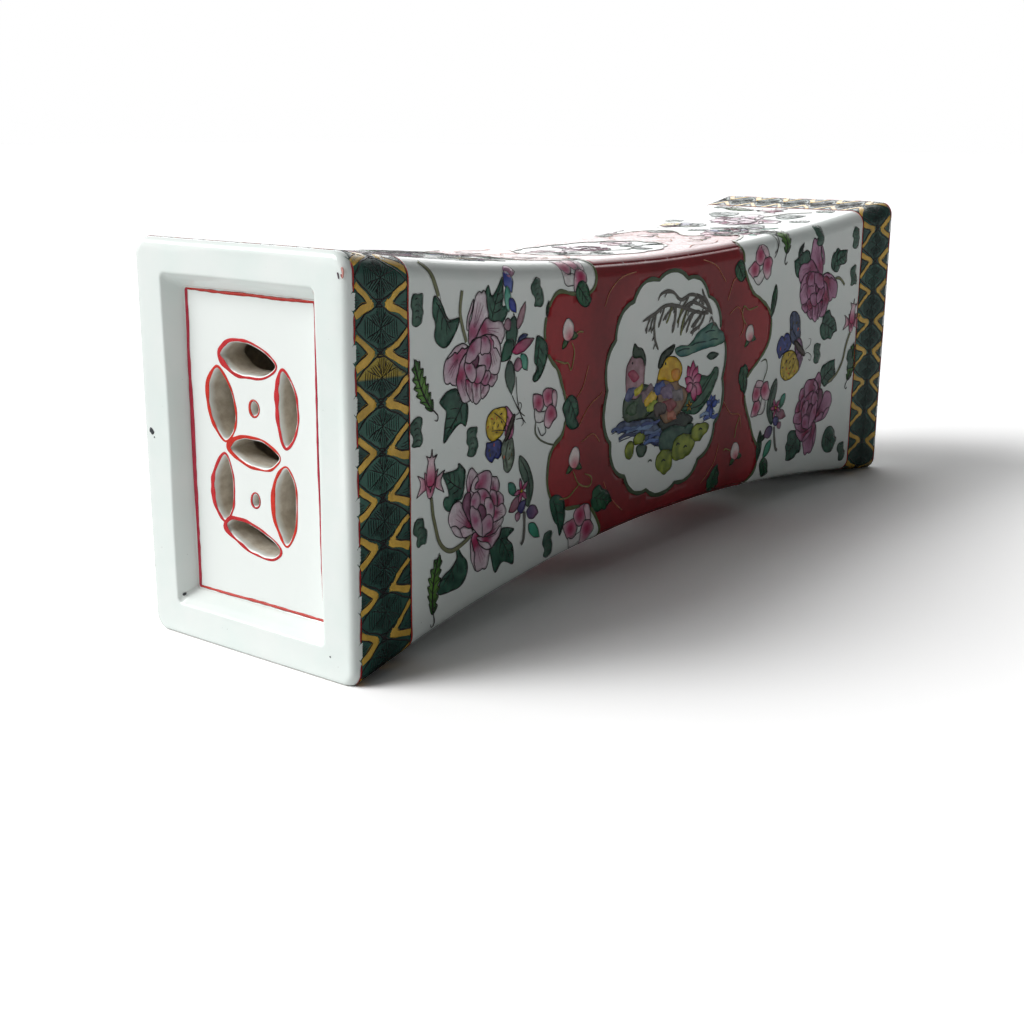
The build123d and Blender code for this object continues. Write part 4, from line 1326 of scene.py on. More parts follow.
def fuchsia(canvas, at, turn=0.0, size=1.0, flip=False, seed=1):
    """A hanging branch with slim blue and rose flowers and teal leaves."""

    def move(points):
        return placed(points, at, turn, size, flip)

    def way(angle):
        return (180 - angle if flip else angle) + turn

    for line, width in ((((0.6, -2), (-2.9, -8), (-0.4, -16), (4.6, -23), (8, -25.4)), 0.5), (((2.6, -11), (3.2, -18), (5.2, -24), (8.6, -28)), 0.45),
                        (((-4, 24), (-1.5, 15), (1, 9), (0.6, -2)), 0.7)):
        canvas.stroke(run(move(line), step=0.9), width, (58, 56, 52), "stems", ends=0.4)
    rose, pale, ink_blue = (190, 60, 110), (232, 170, 196), (52, 64, 140)
    for n, (a, b, angle, length, width, near_c, far_c) in enumerate((
        (-3.9, 25, 350, 6.5, 3.8, (142, 92, 132), (196, 150, 172)), (-4.4, 24.4, 300, 8.0, 4.6, (50, 62, 150), (112, 134, 190)),
        (-3.4, 20, 278, 9.0, 3.6, TURQUOISE, (150, 206, 190)), (-1.9, 15.5, 310, 6.5, 3.2, ink_blue, (66, 80, 170)),
        (1.1, 9.5, 256, 12.5, 6.4, LEAF, LEAF_LIGHT), (0.6, 1.6, 222, 9.5, 5.6, LEAF, (52, 112, 88)), (3.2, 5.0, 62, 9.8, 3.4, (150, 118, 130), (196, 158, 166)),
        (-0.6, 7.6, 190, 4.6, 4.2, (126, 92, 112), (188, 158, 168)), (3.1, 0.4, 18, 6.6, 2.8, (44, 50, 96), (70, 84, 130)),
        (0.1, -2.5, 13, 13.8, 4.0, rose, (150, 112, 124)), (5.6, -3.8, 302, 7.2, 3.8, TURQUOISE, (120, 186, 160)),
        (1.4, -6.4, 340, 5.0, 4.4, (120, 84, 100), pale), (-1.9, -5, 278, 12.0, 5.4, (60, 84, 76), (98, 122, 108)),
    )):
        slim_petal(canvas, move([(a, b)])[0], way(angle), length * size, width * size, near_c, far_c, seed + n,
                   "leaves" if near_c == LEAF else "blossoms")


def small_spray(canvas, at, turn=0.0, size=1.0, flip=False, seed=1):
    """A curved twig with a rose blossom, a violet bud and teal leaves."""

    def move(points):
        return placed(points, at, turn, size, flip)

    def way(angle):
        return (180 - angle if flip else angle) + turn

    big = hand(run(move([(1.1, 15.8), (4.6, 13.8), (7.6, 9.8), (9.6, 4.8), (9.1, 0.8), (6.6, -3.2), (4.6, -1.2), (5.1, 3.8), (2.6, 7.8), (0.8, 11.8)]),
                   closed=True, step=0.7), seed, 0.2, 5.0)
    canvas.shape(big, mottled((56, 84, 72), (104, 128, 112), seed, 4.0), "leaves", step=1.5)
    canvas.stroke(run(move([(1.6, 14.6), (5.6, 9.4), (7.2, 4), (6.8, -2)]), step=0.9), 0.3)
    canvas.stroke(run(move([(3.0, -1.0), (4.1, -6.2), (3.6, -14.2), (2.0, -16)]), step=0.9), 1.5, (104, 104, 100), "stems", ends=0.6)
    for n, (a, b, angle, length, width, near_c, far_c) in enumerate((
        (-5.6, 7.4, 312, 7.2, 3.6, TURQUOISE, LEAF_LIGHT), (2.2, 1.0, 206, 8.6, 4.2, (150, 120, 140), (160, 96, 110)), (0.4, -4.4, 40, 6.0, 3.8, (44, 48, 110), (120, 112, 160)),
        (0.6, -3.8, 250, 3.6, 3.0, (168, 110, 140), (196, 160, 176)), (5.4, -4.8, 345, 7.6, 4.8, (66, 66, 110), (150, 108, 140)), (6.9, -9.8, 318, 9.4, 4.0, TURQUOISE, (64, 150, 116)),
    )):
        slim_petal(canvas, move([(a, b)])[0], way(angle), length * size, width * size, near_c, far_c, seed + n,
                   "leaves" if near_c in (LEAF, TURQUOISE) else "blossoms")
    star_bloom(canvas, move([(2.4, 3.2)])[0], 30 + turn, 0.72 * size, seed + 50, heart=(176, 40, 92), tip=(196, 140, 168))


# The petals of a small bloom: its blush as x, y and reach, and its outline, mm about its own middle
BLOOM_PETALS = (
    ((-4.2, 2.6, 2.6), ((-7.8, 5.8), (-4.4, 5.4), (-1.8, 4.4), (-0.9, 1.1), (-3.9, -1.2), (-7.0, 0.4), (-7.8, 3.2))),
    ((1.8, 3.8, 2.6), ((-1.9, 5.1), (0.0, 6.8), (2.4, 6.6), (5.3, 5.6), (4.9, 1.6), (1.6, 0.2), (-1.0, 1.6))),
    ((5.0, 6.0, 1.0), ((4.4, 5.4), (6.8, 4.8), (7.3, 1.6), (6.2, -0.8), (4.4, 0.8))),
    (None, ((-6.9, 0.6), (-4.4, -0.8), (-1.4, -0.9), (0.6, -1.6), (0.2, -4.2), (-3.4, -4.8), (-6.4, -3.4))),
    ((3.8, -2.4, 2.8), ((0.2, -1.0), (3.0, 0.6), (6.2, -0.9), (7.2, -4.0), (4.9, -5.6), (2.8, -7.4), (-0.2, -6.6), (-0.6, -3.6))),
)


def round_bloom(canvas, at, size=1.0, turn=0.0, seed=1, flip=False):
    """A small blossom of cupped petals blushed with crimson round a pale middle, as in the white reserves."""
    for n, (blush, outline) in enumerate(BLOOM_PETALS):
        ring = scalloped(run(outline, closed=True, step=0.5), seed + n, 0.14)
        ring = hand(placed(ring, at, turn, size, flip), seed + n, 0.3, 3.0)
        if blush:
            heart = placed([blush[:2]], at, turn, size, flip)[0]
            colour = from_point(heart, (164, 34, 78), (224, 196, 206), blush[2] * 1.5 * size, 1.3)
        else:
            colour = mottled((226, 222, 222), (236, 238, 236), seed, 3.0)
        canvas.shape(ring, colour, "blossoms", step=1.1, outline=0.34)


def ground_bud(canvas, at, turn=0.0, size=1.0, seed=1, curls=()):
    """A pale bud on the red ground, with green sepals and gilt curls."""
    for points in curls:
        canvas.stroke(hand(run(points, step=0.9), seed, 0.3, 6.0), 0.7, (168, 150, 96), "gilding", ends=0.3)
    for angle in (215, 345):
        slim_petal(canvas, np.array(at) + placed([(0, -1.5 * size)], (0, 0), turn)[0], angle + turn, 5.0 * size, 2.2 * size, LEAF, (92, 120, 70), seed, "leaves")
    outline = ((-2.6, -1.5), (-3.0, 1.0), (-1.6, 3.2), (0, 3.8), (1.8, 3.0), (3.0, 0.8), (2.4, -1.8), (0, -3.0))
    ring = hand(placed(run(outline, closed=True, step=0.5), at, turn, size), seed, 0.3, 3.0)
    heart = placed([(0.6, -2.0)], at, turn, size)[0]
    canvas.shape(ring, from_point(heart, (206, 96, 112), (240, 228, 226), 3.4 * size, 0.8), "blossoms", step=1.0, outline=0.26)


def reserve(canvas, outline, seed=1):
    """A white patch left in the red ground, edged in olive green."""
    ring = hand(run(outline, closed=True, step=0.7), seed, 0.3, 5.0)
    canvas.wash(ring, (236, 243, 240), "reserves", step=4.0)
    canvas.stroke(ring, 0.8, OLIVE, "edging", closed=True)
    return ring


def lobed(centre, half_u, half_v, lobes, depth, phase=0.0):
    """A cartouche outline of round lobes."""
    turn = np.linspace(0, 2 * math.pi, lobes * 14, endpoint=False)
    swell = 1 - depth + depth * np.abs(np.sin(turn * lobes / 2 + phase)) ** 0.75 * 1.35
    u = centre[0] + half_u * np.sign(np.cos(turn)) * np.abs(np.cos(turn)) ** 0.92 * swell
    v = centre[1] + half_v * np.sign(np.sin(turn)) * np.abs(np.sin(turn)) ** 0.92 * swell
    return np.stack([u, v], 1)


# ---------------------------------------------------------------- diaper bands

BAND_START, BAND_END = 3.0, 28.6
BAND_UNITS = 29
BAND_PITCH = 14.75


def flat_place(face, a, b, lift):
    return np.stack(np.broadcast_arrays(np.asarray(a, float), b, lift), -1)


def band_place(sign):
    """Places band points: a in from the end, b round the body, kept right way out at both ends."""
    start = 5.8 - BAND_PITCH / 2 if sign < 0 else 9.0 + BAND_PITCH / 2

    def place(face, a, b, lift):
        a, b = np.asarray(a, float), np.asarray(b, float)
        x = sign * (HALF_LENGTH - a)
        p = start - sign * b * girth(x) / (BAND_UNITS * BAND_PITCH)
        over = np.clip((2.4 - a) / 2.7, 0, 1)
        return on_body(x, p, lift - 2.7 * (1 - np.sqrt(1 - over**2)))

    return place


def band_unit(kind):
    """One repeat of the diaper, flat: the two yellow chevrons, or the ink lines and hatched lozenge."""
    enamel = Enamel()
    pitch = BAND_PITCH
    half = pitch / 2
    if kind == "chevrons":
        for points, width in (
            (((3.1, 3.5), (10.9, half)), 2.7), (((10.9, half), (3.1, 12.5)), 2.1),
            (((28.2, 3.3), (18.4, half)), 2.7), (((18.4, half), (28.0, 14.1)), 2.0),
        ):
            a, b = (np.array(p, float) for p in points)
            way = (b - a) / np.hypot(*(b - a))
            if points[0][0] in (10.9, 18.4):
                a = a - way * 0.9
            else:
                b = b + way * 0.9
            enamel.line("", corner_run((a, b)), width, 0.5 if width > 2.5 else 0.62, OCHRE, ends=0.9, place=flat_place)
        return enamel
    lines = (
        ((3.1, 0.1), (7.6, 3.7), (13.0, 6.2), (14.9, 8.0)), ((3.1, pitch - 0.2), (7.0, 11.7), (12.8, 8.7), (14.9, 6.8)),
        ((3.1, 5.0), (8.6, half), (3.1, 11.2)),
        ((27.9, 0.1), (22.4, 3.3), (16.0, 6.4), (14.4, 8.0)), ((28.2, pitch + 0.6), (22.6, 11.4), (16.0, 8.3), (14.4, 6.8)),
        ((28.3, 5.0), (20.8, half), (28.2, 12.4)),
    )
    for n, points in enumerate(lines):
        enamel.line("", corner_run(points), 0.46, 1.6, INK, ends=0.8, place=flat_place, seed=n)
    for bow in (-1.3, -0.5, 0.4, 1.2):
        enamel.line("", corner_run(((13.2 - abs(bow) * 0.2, half + bow), (16.2 + abs(bow) * 0.2, half + bow * 0.9))), 0.5, 1.5, INK, ends=0.5, place=flat_place, seed=5)
    middle = np.array([15.2, pitch])
    for n in range(8):
        angle = math.radians(22.5 + 45 * n)
        reach = 7.6 if n in (0, 3, 4, 7) else 5.4
        points = (middle, middle + np.array([math.cos(angle), math.sin(angle)]) * reach)
        enamel.line("", corner_run(points), 0.3, 1.6, INK, place=flat_place, seed=n)
    for sector in range(8):
        angle = math.radians(45 * sector)
        way = np.array([math.cos(angle), math.sin(angle)])
        side = np.array([-way[1], way[0]])
        rows = (2.2, 3.3, 4.4, 5.5, 6.6, 7.7) if sector in (0, 4) else (-1.2, -0.4, 0.4, 1.2)
        for row in rows:
            if sector in (0, 4):
                reach = row * 0.37
                edge = middle + way * row
                room = 1 - abs(edge[0] - 15.2) / 12.4 - abs(edge[1] - pitch) / 7.2
                reach = min(reach, max(room, 0) * 6.2)
                ends = (edge - side * reach, edge + side * reach)
            else:
                far = 1.0
                while far < 7.5 and abs(way[0] * far) / 12.4 + abs(way[1] * far + side[1] * row) / 7.2 < 0.86:
                    far += 0.2
                near_end = max(1.3, abs(row) * 2.3)
                ends = (middle + way * near_end + side * row, middle + way * far + side * row)
                reach = far - near_end
            if reach > 0.35:
                enamel.line("", corner_run(ends), 0.28, 1.6, INK, place=flat_place, seed=sector)
    for corner, spread in ((3.2, (5.9, 6.9, 7.9, 8.9)), (28.2, (5.8, 7.0, 8.2, 9.6))):
        for b in spread:
            inwards = (1 if corner < 10 else -1) * (2.9 - abs(b - half) * 1.0) * (1.0 if corner < 10 else 1.5)
            enamel.line("", corner_run(((corner, b), (corner + inwards, half + (b - half) * 0.6))), 0.26, 1.6, INK, place=flat_place, seed=int(b))
    return enamel


def corner_run(points, step=0.9):
    """A line with sharp corners, in even steps."""
    out = []
    for a, b in zip(points[:-1], points[1:]):
        a, b = np.array(a, float), np.array(b, float)
        count = max(2, int(np.hypot(*(b - a)) / step))
        out.append(a + (b - a) * (np.arange(count) / count)[:, None])
    out.append(np.array([points[-1]], float))
    return np.vstack(out)


def repeat_tree(material):
    """Geometry nodes that lay copies of a flat motif side by side, as one mesh."""
    tree = bpy.data.node_groups.new("repeat_round_band", "GeometryNodeTree")
    face = tree.interface
    face.new_socket("Geometry", in_out="INPUT", socket_type="NodeSocketGeometry")
    units = face.new_socket("Units", in_out="INPUT", socket_type="NodeSocketInt")
    pitch = face.new_socket("Pitch", in_out="INPUT", socket_type="NodeSocketFloat")
    face.new_socket("Geometry", in_out="OUTPUT", socket_type="NodeSocketGeometry")
    start, end = tree.nodes.new("NodeGroupInput"), tree.nodes.new("NodeGroupOutput")
    row = tree.nodes.new("GeometryNodeMeshLine")
    step = tree.nodes.new("ShaderNodeCombineXYZ")
    copies = tree.nodes.new("GeometryNodeInstanceOnPoints")
    real = tree.nodes.new("GeometryNodeRealizeInstances")
    paint = tree.nodes.new("GeometryNodeSetMaterial")
    paint.inputs["Material"].default_value = material
    link = tree.links.new
    link(start.outputs["Units"], row.inputs["Count"])
    link(start.outputs["Pitch"], step.inputs["Y"])
    link(step.outputs["Vector"], row.inputs["Offset"])
    link(row.outputs["Mesh"], copies.inputs["Points"])
    link(start.outputs["Geometry"], copies.inputs["Instance"])
    link(copies.outputs["Instances"], real.inputs["Geometry"])
    link(real.outputs["Geometry"], paint.inputs["Geometry"])
    link(paint.outputs["Geometry"], end.inputs["Geometry"])
    return tree, units.identifier, pitch.identifier


def repeated(enamel, name, material):
    """The flat motif repeated along the whole band, as points, triangles and colours."""
    flat = solid(name, np.vstack(enamel.points), np.vstack(enamel.faces), None, np.vstack(enamel.colours))
    tree, units, pitch = repeat_tree(material)
    modifier = flat.modifiers.new("repeat", "NODES")
    modifier.node_group = tree
    modifier[units] = BAND_UNITS
    modifier[pitch] = BAND_PITCH * MM
    bpy.context.view_layer.update()
    evaluated = flat.evaluated_get(bpy.context.evaluated_depsgraph_get())
    mesh = bpy.data.meshes.new_from_object(evaluated)
    points = np.zeros(len(mesh.vertices) * 3)
    mesh.vertices.foreach_get("co", points)
    triangles = np.zeros(len(mesh.polygons) * 3, int)
    mesh.polygons.foreach_get("vertices", triangles)
    colours = np.zeros(len(mesh.vertices) * 4)
    mesh.attributes["pigment"].data.foreach_get("color", colours)
    flat.modifiers.clear()
    for junk in (flat.data, mesh):
        if junk.users == 0:
            bpy.data.meshes.remove(junk)
    data = flat.data
    bpy.data.objects.remove(flat)
    bpy.data.meshes.remove(data)
    bpy.data.node_groups.remove(tree)
    return points.reshape(-1, 3) / MM, triangles.reshape(-1, 3), colours.reshape(-1, 4)[:, :3]


class PILLOW_OT_bands(bpy.types.Operator):
    """Paints the diaper band round each end: dark ground, ochre chevrons, ink florets and red borders"""

    bl_idname = "pillow.bands"
    bl_label = "Diaper bands"

    def execute(self, context):
        for kind, finish, name in (("chevrons", "enamel_finish", "chevrons"), ("ink", "ink_finish", "florets")):
            points, triangles, colours = repeated(band_unit(kind), name, finish_named(finish))
            for sign, end in ((-1, "left"), (1, "right")):
                moved = points.copy()
                stray = np.array([noise.noise_vector(Vector((a / 6.0, b / 6.0, sign * 2.0))) for a, b in points[:, :2]])
                moved[:, :2] += stray[:, :2] * (0.75, 0.9)
                moved[:, 0] = np.clip(moved[:, 0], BAND_START - 0.2, BAND_END + 0.2)
                bent = band_place(sign)("", moved[:, 0], moved[:, 1], moved[:, 2])
                shade = np.array([0.5 + noise.noise(Vector((b / 9.0, a / 12.0, sign * 5.0))) for a, b in points[:, :2]])
                tinted = colours * (0.82 + 0.3 * shade)[:, None]
                obj = solid(f"{end}_band_{name}", bent, triangles, None, tinted)
                finish_piece(obj, finish_named(finish))
        for sign, end in ((-1, "left"), (1, "right")):
            self.ground(sign, end)
        return {"FINISHED"}

    def ground(self, sign, end):
        across = np.linspace(BAND_START, BAND_END, 19)
        count = 560
        along = np.arange(count) * BAND_UNITS * BAND_PITCH / count
        a, b = (m.ravel() for m in np.meshgrid(across, along, indexing="ij"))
        place = band_place(sign)
        # the dark triangles between the chevrons run over the outer border
        run_over = 1.7 * np.clip(1.6 - np.abs(b % BAND_PITCH - BAND_PITCH / 2) / 2.4, 0, 1) * np.clip(1 - (a - BAND_START) / 3.0, 0, 1)
        top = place("", a - run_over, b, FIRST_LEVEL * 0.7)
        under = place("", a - run_over, b, -0.05)
        rows = len(across)
        faces = grid_faces(rows, count, closed_columns=True)
        size = rows * count
        first = np.arange(count)
        nxt = (first + 1) % count
        last = first + (rows - 1) * count
        last_next = nxt + (rows - 1) * count
        sides = np.vstack([
            np.stack([first, first + size, nxt + size], 1), np.stack([first, nxt + size, nxt], 1),
            np.stack([last, last_next + size, last + size], 1), np.stack([last, last_next, last_next + size], 1),
        ])
        shell = np.vstack([faces, faces[:, ::-1] + size, sides])
        unit = np.round(b / BAND_PITCH).astype(int)
        inner = np.abs(b / BAND_PITCH - unit) * 2 + np.abs(a - 14.6) / 12.5 < 1
        cell = np.where(inner, unit % BAND_UNITS, 100 + np.floor(b / BAND_PITCH).astype(int) * 2 + (a > 14.6))
        tone = np.array([noise.noise(Vector((c * 3.7, sign * 9.1, 0.5))) for c in range(400)])
        share = 0.35 + 0.9 * tone[cell] + 0.25 * np.array([noise.noise(Vector((p / 4, q / 4, 3.0))) for p, q in zip(a, b)])
        colour = linear(blend(DARK_TEAL, TEAL, share))
        if sign < 0:
            odd = inner & (unit == 2) & (b > 2 * BAND_PITCH)
            colour[odd] = linear(blend((150, 134, 50), (196, 172, 66), share[odd]))
        ground = solid(f"{end}_band_ground", np.vstack([top, under]), shell,
                       np.r_[np.ones(len(faces), bool), np.zeros(len(faces) + len(sides), bool)], np.vstack([colour, colour]))
        weld(ground)
        finish_piece(ground, finish_named("ground_enamel_finish"))
        borders = Enamel()
        for unit in range(BAND_UNITS):
            b = np.arange(unit * BAND_PITCH - 4.4, unit * BAND_PITCH + 4.4, 0.9)
            line = hand(np.stack([np.full(len(b), BAND_START - 0.2), b], 1), int(7 + sign), 0.3, 11.0)
            borders.line("", line, 0.8, 1.2, (176, 40, 44), place=place, seed=unit)
        for at, width, colour in ((BAND_END + 0.1, 0.7, IRON_RED), (BAND_END - 0.35, 0.3, INK)):
            b = np.arange(0, BAND_UNITS * BAND_PITCH + 2, 0.9)
            line = hand(np.stack([np.full(len(b), at), b], 1), int(at) + sign, 0.35, 11.0)
            line[:, 0] = np.maximum(line[:, 0], BAND_START - 0.3)
            borders.line("", line, width, 1.2, colour, place=place, seed=at)
        borders.lay(f"{end}_band_borders", finish_named("enamel_finish"))


# ---------------------------------------------------------------- the four painted faces

# The red ground's left and right edge on the front, from the top edge down, as u and v in mm
FRONT_LEFT_EDGE = (
    (-51.6, 56), (-51.9, 50), (-53.1, 44.2), (-57.5, 41.6), (-61.6, 41.8), (-68.8, 43.0), (-76.1, 44.0), (-80.9, 41.1), (-83.6, 36.9),
    (-84.6, 30.8), (-83.4, 24.8), (-80.9, 21.2), (-76.1, 16.3), (-72.5, 10.2), (-70.6, 4.2), (-70.6, -1.9), (-73.1, -7.3),
    (-77.9, -10.3), (-80.9, -14), (-82.2, -20), (-81.6, -24.9), (-79.1, -29.7), (-74.9, -34), (-67.6, -35.2), (-59.1, -36.4),
    (-53.1, -38.2), (-49.4, -41.8), (-45.8, -47.9), (-44.6, -56),
)
FRONT_RIGHT_EDGE = (
    (57.0, 56), (57.6, 51.4), (58.2, 45.4), (60.6, 39.3), (65.4, 33.0), (72.7, 28.8), (79.4, 24.8), (83.0, 19.5), (83.6, 13.9),
    (81.6, 8.6), (77.6, 4.2), (70.3, -0.7), (65.4, -4.3), (63.6, -10.4), (65.4, -17.6), (69.1, -24.9), (73.2, -32.2),
    (77.6, -39.4), (76.0, -46.0), (71.0, -50.4), (67.9, -56),
)
TOP_LEFT_EDGE = (
    (-57.2, 42), (-57.6, 36), (-59, 31), (-66, 28.6), (-73, 26), (-78, 20), (-79, 13), (-75, 7), (-70.5, 1.5), (-71, -5), (-76, -10),
    (-80, -16), (-78, -23), (-70, -28), (-60, -29.6), (-54, -32), (-51.8, -36.5), (-51.5, -42),
)
TOP_RIGHT_EDGE = (
    (51.5, 42), (51.8, 36.5), (54.5, 31), (62, 29), (72, 26), (79, 20), (81, 12), (77, 5.5), (71, 0.5), (69.5, -5.5), (74, -11),
    (79.5, -18), (78, -25), (69, -29.5), (60.5, -31.5), (57.5, -36), (57.1, -42),
)
BOTTOM_LEFT_EDGE = (
    (-44.4, 42), (-44.6, 36), (-50, 30), (-60, 27), (-70, 22), (-74, 14), (-70, 5), (-64, 0), (-66, -7), (-73, -13), (-78, -20), (-76, -28),
    (-71, -32), (-68.2, -36), (-67.9, -42),
)
BOTTOM_RIGHT_EDGE = (
    (67.7, 42), (67.9, 36), (71, 31), (77, 26), (79, 18), (74, 10), (67, 4), (65, -2), (70, -9), (75, -16), (73, -24), (62, -28), (51, -31),
    (45, -36), (44.6, -42),
)


def middle_of_edge(face, u):
    """How far up and how far down a face reaches, to the middle of its rounded edges."""
    x = -u if face == "back" else u
    up, down, across, edge = lengths(x)
    if face in ("front", "back"):
        return up + edge / 2, -(down + edge / 2)
    return across + edge / 2, -(across + edge / 2)


def red_ground(canvas, left, right, hole):
    """The red ground between two lobed edges, from one rounded edge to the other, left open at the cartouche."""
    sides = []
    for points in (left, right):
        side = hand(run(points, step=0.8), 4, 0.4, 7.0)
        high, low = middle_of_edge(canvas.face, side[:, 0])
        side = side[(side[:, 1] < high - 0.05) & (side[:, 1] > low + 0.05)]
        ends = [np.array([p[0], middle_of_edge(canvas.face, p[0])[k]]) for k, p in ((0, side[0]), (1, side[-1]))]
        sides.append(np.vstack([ends[0], side, ends[1]]))
    a, b = sides
    lower = np.linspace(a[-1, 0], b[-1, 0], 90)[1:-1]
    upper = np.linspace(b[0, 0], a[0, 0], 90)[1:-1]
    ring = np.vstack([
        a, np.stack([lower, middle_of_edge(canvas.face, lower)[1]], 1), b[::-1],
        np.stack([upper, middle_of_edge(canvas.face, upper)[0]], 1),
    ])
    wander = mottled(RUBY_GROUND, (146, 36, 42), 8, 16.0)

    def colour(p):
        return blend_rows(wander(p), (162, 37, 43), (np.abs(p[:, 0]) - 50) / 22)

    canvas.wash(ring, colour, "red_ground", step=3.2, holes=[hole])
    for side in sides:
        canvas.stroke(side, 1.5, OLIVE, "edging", ends=1.0)
        canvas.stroke(side + (0.0, 0.0), 0.25, INK, ends=1.0)


def gilt_scroll(canvas, points, seed=1, width=0.5):
    canvas.stroke(hand(run(points, step=0.9), seed, 0.3, 6.0), width, (206, 138, 104), "gilding", ends=0.3)


def cartouche_frame(canvas, ring):
    canvas.stroke(ring, 1.7, (66, 84, 58), "edging", closed=True)
    canvas.stroke(ring, 0.3, INK, closed=True)


FINISHES = {"outlines": "ink_finish", "red_ground": "ground_enamel_finish", "gilding": "gilt_finish", "reserves": "glazed_porcelain_finish"}


def pond_scene(canvas, at=(0.0, 0.0), size=1.0):
    """Willow twigs, a far shore, two mandarin ducks, a lotus with its leaf, water and rocks."""

    def move(points):
        return placed(points, at, 0.0, size)

    def wash(points, colour, step=1.6, outline=0.28, seed=1, reach=0.35):
        ring = hand(run(move(points), closed=True, step=0.7), seed, reach, 4.0)
        canvas.shape(ring, colour, "pond_scene", step=step, outline=outline * 0.8)

    def line(points, width, colour, seed=1):
        canvas.stroke(hand(run(move(points), step=0.8), seed, 0.3, 5.0), width, colour, "pond_scene")

    # far shore
    wash(((5.5, 14.5), (10, 15.3), (17, 15.2), (23.5, 19.3), (30, 21.4), (36, 22.2), (40.5, 18.8), (44.2, 16.8), (43.6, 12.8),
          (26, 11.6), (14, 10.6), (7.5, 11.4)), mottled((60, 110, 110), (96, 138, 120), 5, 5.0), 2.4, 0.2, 3)
    for a, b, c in ((12, 13.0, 10), (24, 14.6, 12), (33, 18.5, 8), (36, 14.6, 7)):
        line(((a - c / 2, b), (a, b + 0.6), (a + c / 2, b + 0.2)), 0.5, (44, 78, 80), a)
    # willow
    bark = (92, 90, 84)
    for n, (points, width) in enumerate((
        (((33, 26), (28, 31.5), (22, 34.5), (15, 35.3), (9, 34), (3, 37.5), (-2, 38.4), (-6.5, 37.4), (-8.6, 35.4)), 1.1),
        (((32, 27.5), (24, 27.5), (16, 29.5), (9, 31), (2, 32.5), (-5, 32.5), (-11, 30), (-19.5, 28)), 1.1),
        (((-9.5, 30.5), (-11, 26), (-10.6, 22), (-9.5, 18.5), (-7.6, 15.8)), 1.1),
        (((-14, 29), (-16, 26.5), (-17, 23.2)), 0.8), (((-3.5, 32), (-6, 28), (-8, 24.6)), 0.8),
        (((2, 32.2), (0, 28), (-2, 25.5)), 0.8), (((5, 31.5), (4.4, 26), (2.8, 21.2)), 1.0),
        (((10, 30.6), (8, 27.5), (6.6, 24.8)), 0.9), (((14, 29.6), (11, 25), (9.2, 19.4)), 1.0),
        (((20, 28.5), (16, 24.5), (13.8, 20.2)), 1.0), (((26, 27.6), (22, 24), (19, 22)), 0.9),
        (((29, 27.4), (25, 22.6), (20, 20.6), (17, 19.6)), 0.9), (((21, 35.5), (24, 33), (27, 30.4)), 1.0),
        (((33, 27), (27, 29.4), (21, 31.6), (14, 31.6), (8.4, 27.6), (6.8, 23)), 1.0), (((30, 30), (25, 33.6), (19, 33), (13, 28.6), (11.8, 24)), 0.9),
        (((31, 26.4), (26, 26.8), (20.4, 23.6), (17.4, 22)), 0.9), (((34, 25.6), (31, 30), (27, 34), (25, 37)), 1.0), (((5, 31.6), (-1, 29.4), (-4.6, 27)), 0.8),
        (((-11, 30.2), (-13.4, 26), (-13, 22.8)), 0.8), (((24, 28), (18, 27.6), (12.4, 23.6), (10.6, 21.4)), 0.9),
        (((33.5, 25), (35.5, 22), (37.5, 20.6)), 0.8), (((15, 35.2), (12, 32.4), (10, 31)), 0.9),
    )):
        line(points, width * 1.35, (108, 114, 62) if n in (7, 8, 5) else bark, n)
        for t in (0.35, 0.6, 0.85):
            k = int(t * (len(points) - 1))
            a = points[k]
            line((a, (a[0] - 1.8, a[1] - 2.4)), 0.6, bark, n + 20)
    # water, and the dark bank behind it
    wash(((-36.5, -10.4), (-30, -9.4), (-20, -11), (-8, -10), (-1, -13), (1, -19), (-3, -24), (-10, -22.6), (-20, -17.6), (-30, -14.6), (-37, -13)),
         mottled((56, 68, 100), (120, 142, 172), 51, 2.6), 1.4, 0.2, 51)
    wash(((-33, -7.6), (-20, -9), (-8, -6), (4, -10), (14, -13), (22, -17), (14, -20), (4, -21), (-4, -17), (-12, -11.6), (-24, -10.6)),
         mottled((30, 40, 40), (60, 76, 66), 52, 3.0), 1.6, 0.2, 52)
    for n, (a, b, c, colour) in enumerate((
        (-36, -12.4, 9, (70, 92, 138)), (-28, -13.2, 16, (92, 116, 168)), (-20, -14.4, 20, (120, 150, 190)), (-12, -13.6, 14, (66, 84, 140)),
        (-26, -16.2, 18, (58, 72, 110)), (-12, -17.6, 16, (104, 128, 170)), (-6, -19.2, 14, (80, 104, 160)), (-9, -21.2, 16, (92, 122, 180)),
        (-4, -22.6, 9, (64, 80, 130)), (33, -16.5, 12, (132, 160, 198)), (36, -18.4, 12, (70, 96, 170)), (39, -12.5, 8, (120, 146, 190)),
    )):
        line(((a - c / 2, b), (a - c / 5, b + 0.8), (a + c / 5, b - 0.3), (a + c / 2, b + 0.5)), 1.5, colour, n)
        line(((a - c / 2, b - 0.9), (a, b - 0.2), (a + c / 2, b - 0.5)), 0.35, (40, 48, 84), n + 3)
    # lotus leaf behind the ducks
    wash(((10, -8), (14, -13), (24, -15), (33, -10.5), (40, -2.5), (41, 2), (38, 3), (33, 0), (27, 0.6), (24, -3), (16, -6)),
         mottled((40, 84, 66), (78, 122, 96), 6, 4.0), 2.0, 0.3, 8)
    for points in (((12, -11), (24, -9), (38, 1)), ((14, -12.4), (27, -11.5), (35, -7)), ((20, -9), (27, -5), (33, -1))):
        line(points, 0.3, INK, 4)
    # blue iris at the right
    for angle in (100, 60, 20, 150, 200, 260):
        slim_petal(canvas, move([(36.6, -13.5)])[0], angle, 5.2 * size, 3.0 * size, (36, 58, 150), (104, 130, 200), angle, "pond_scene")
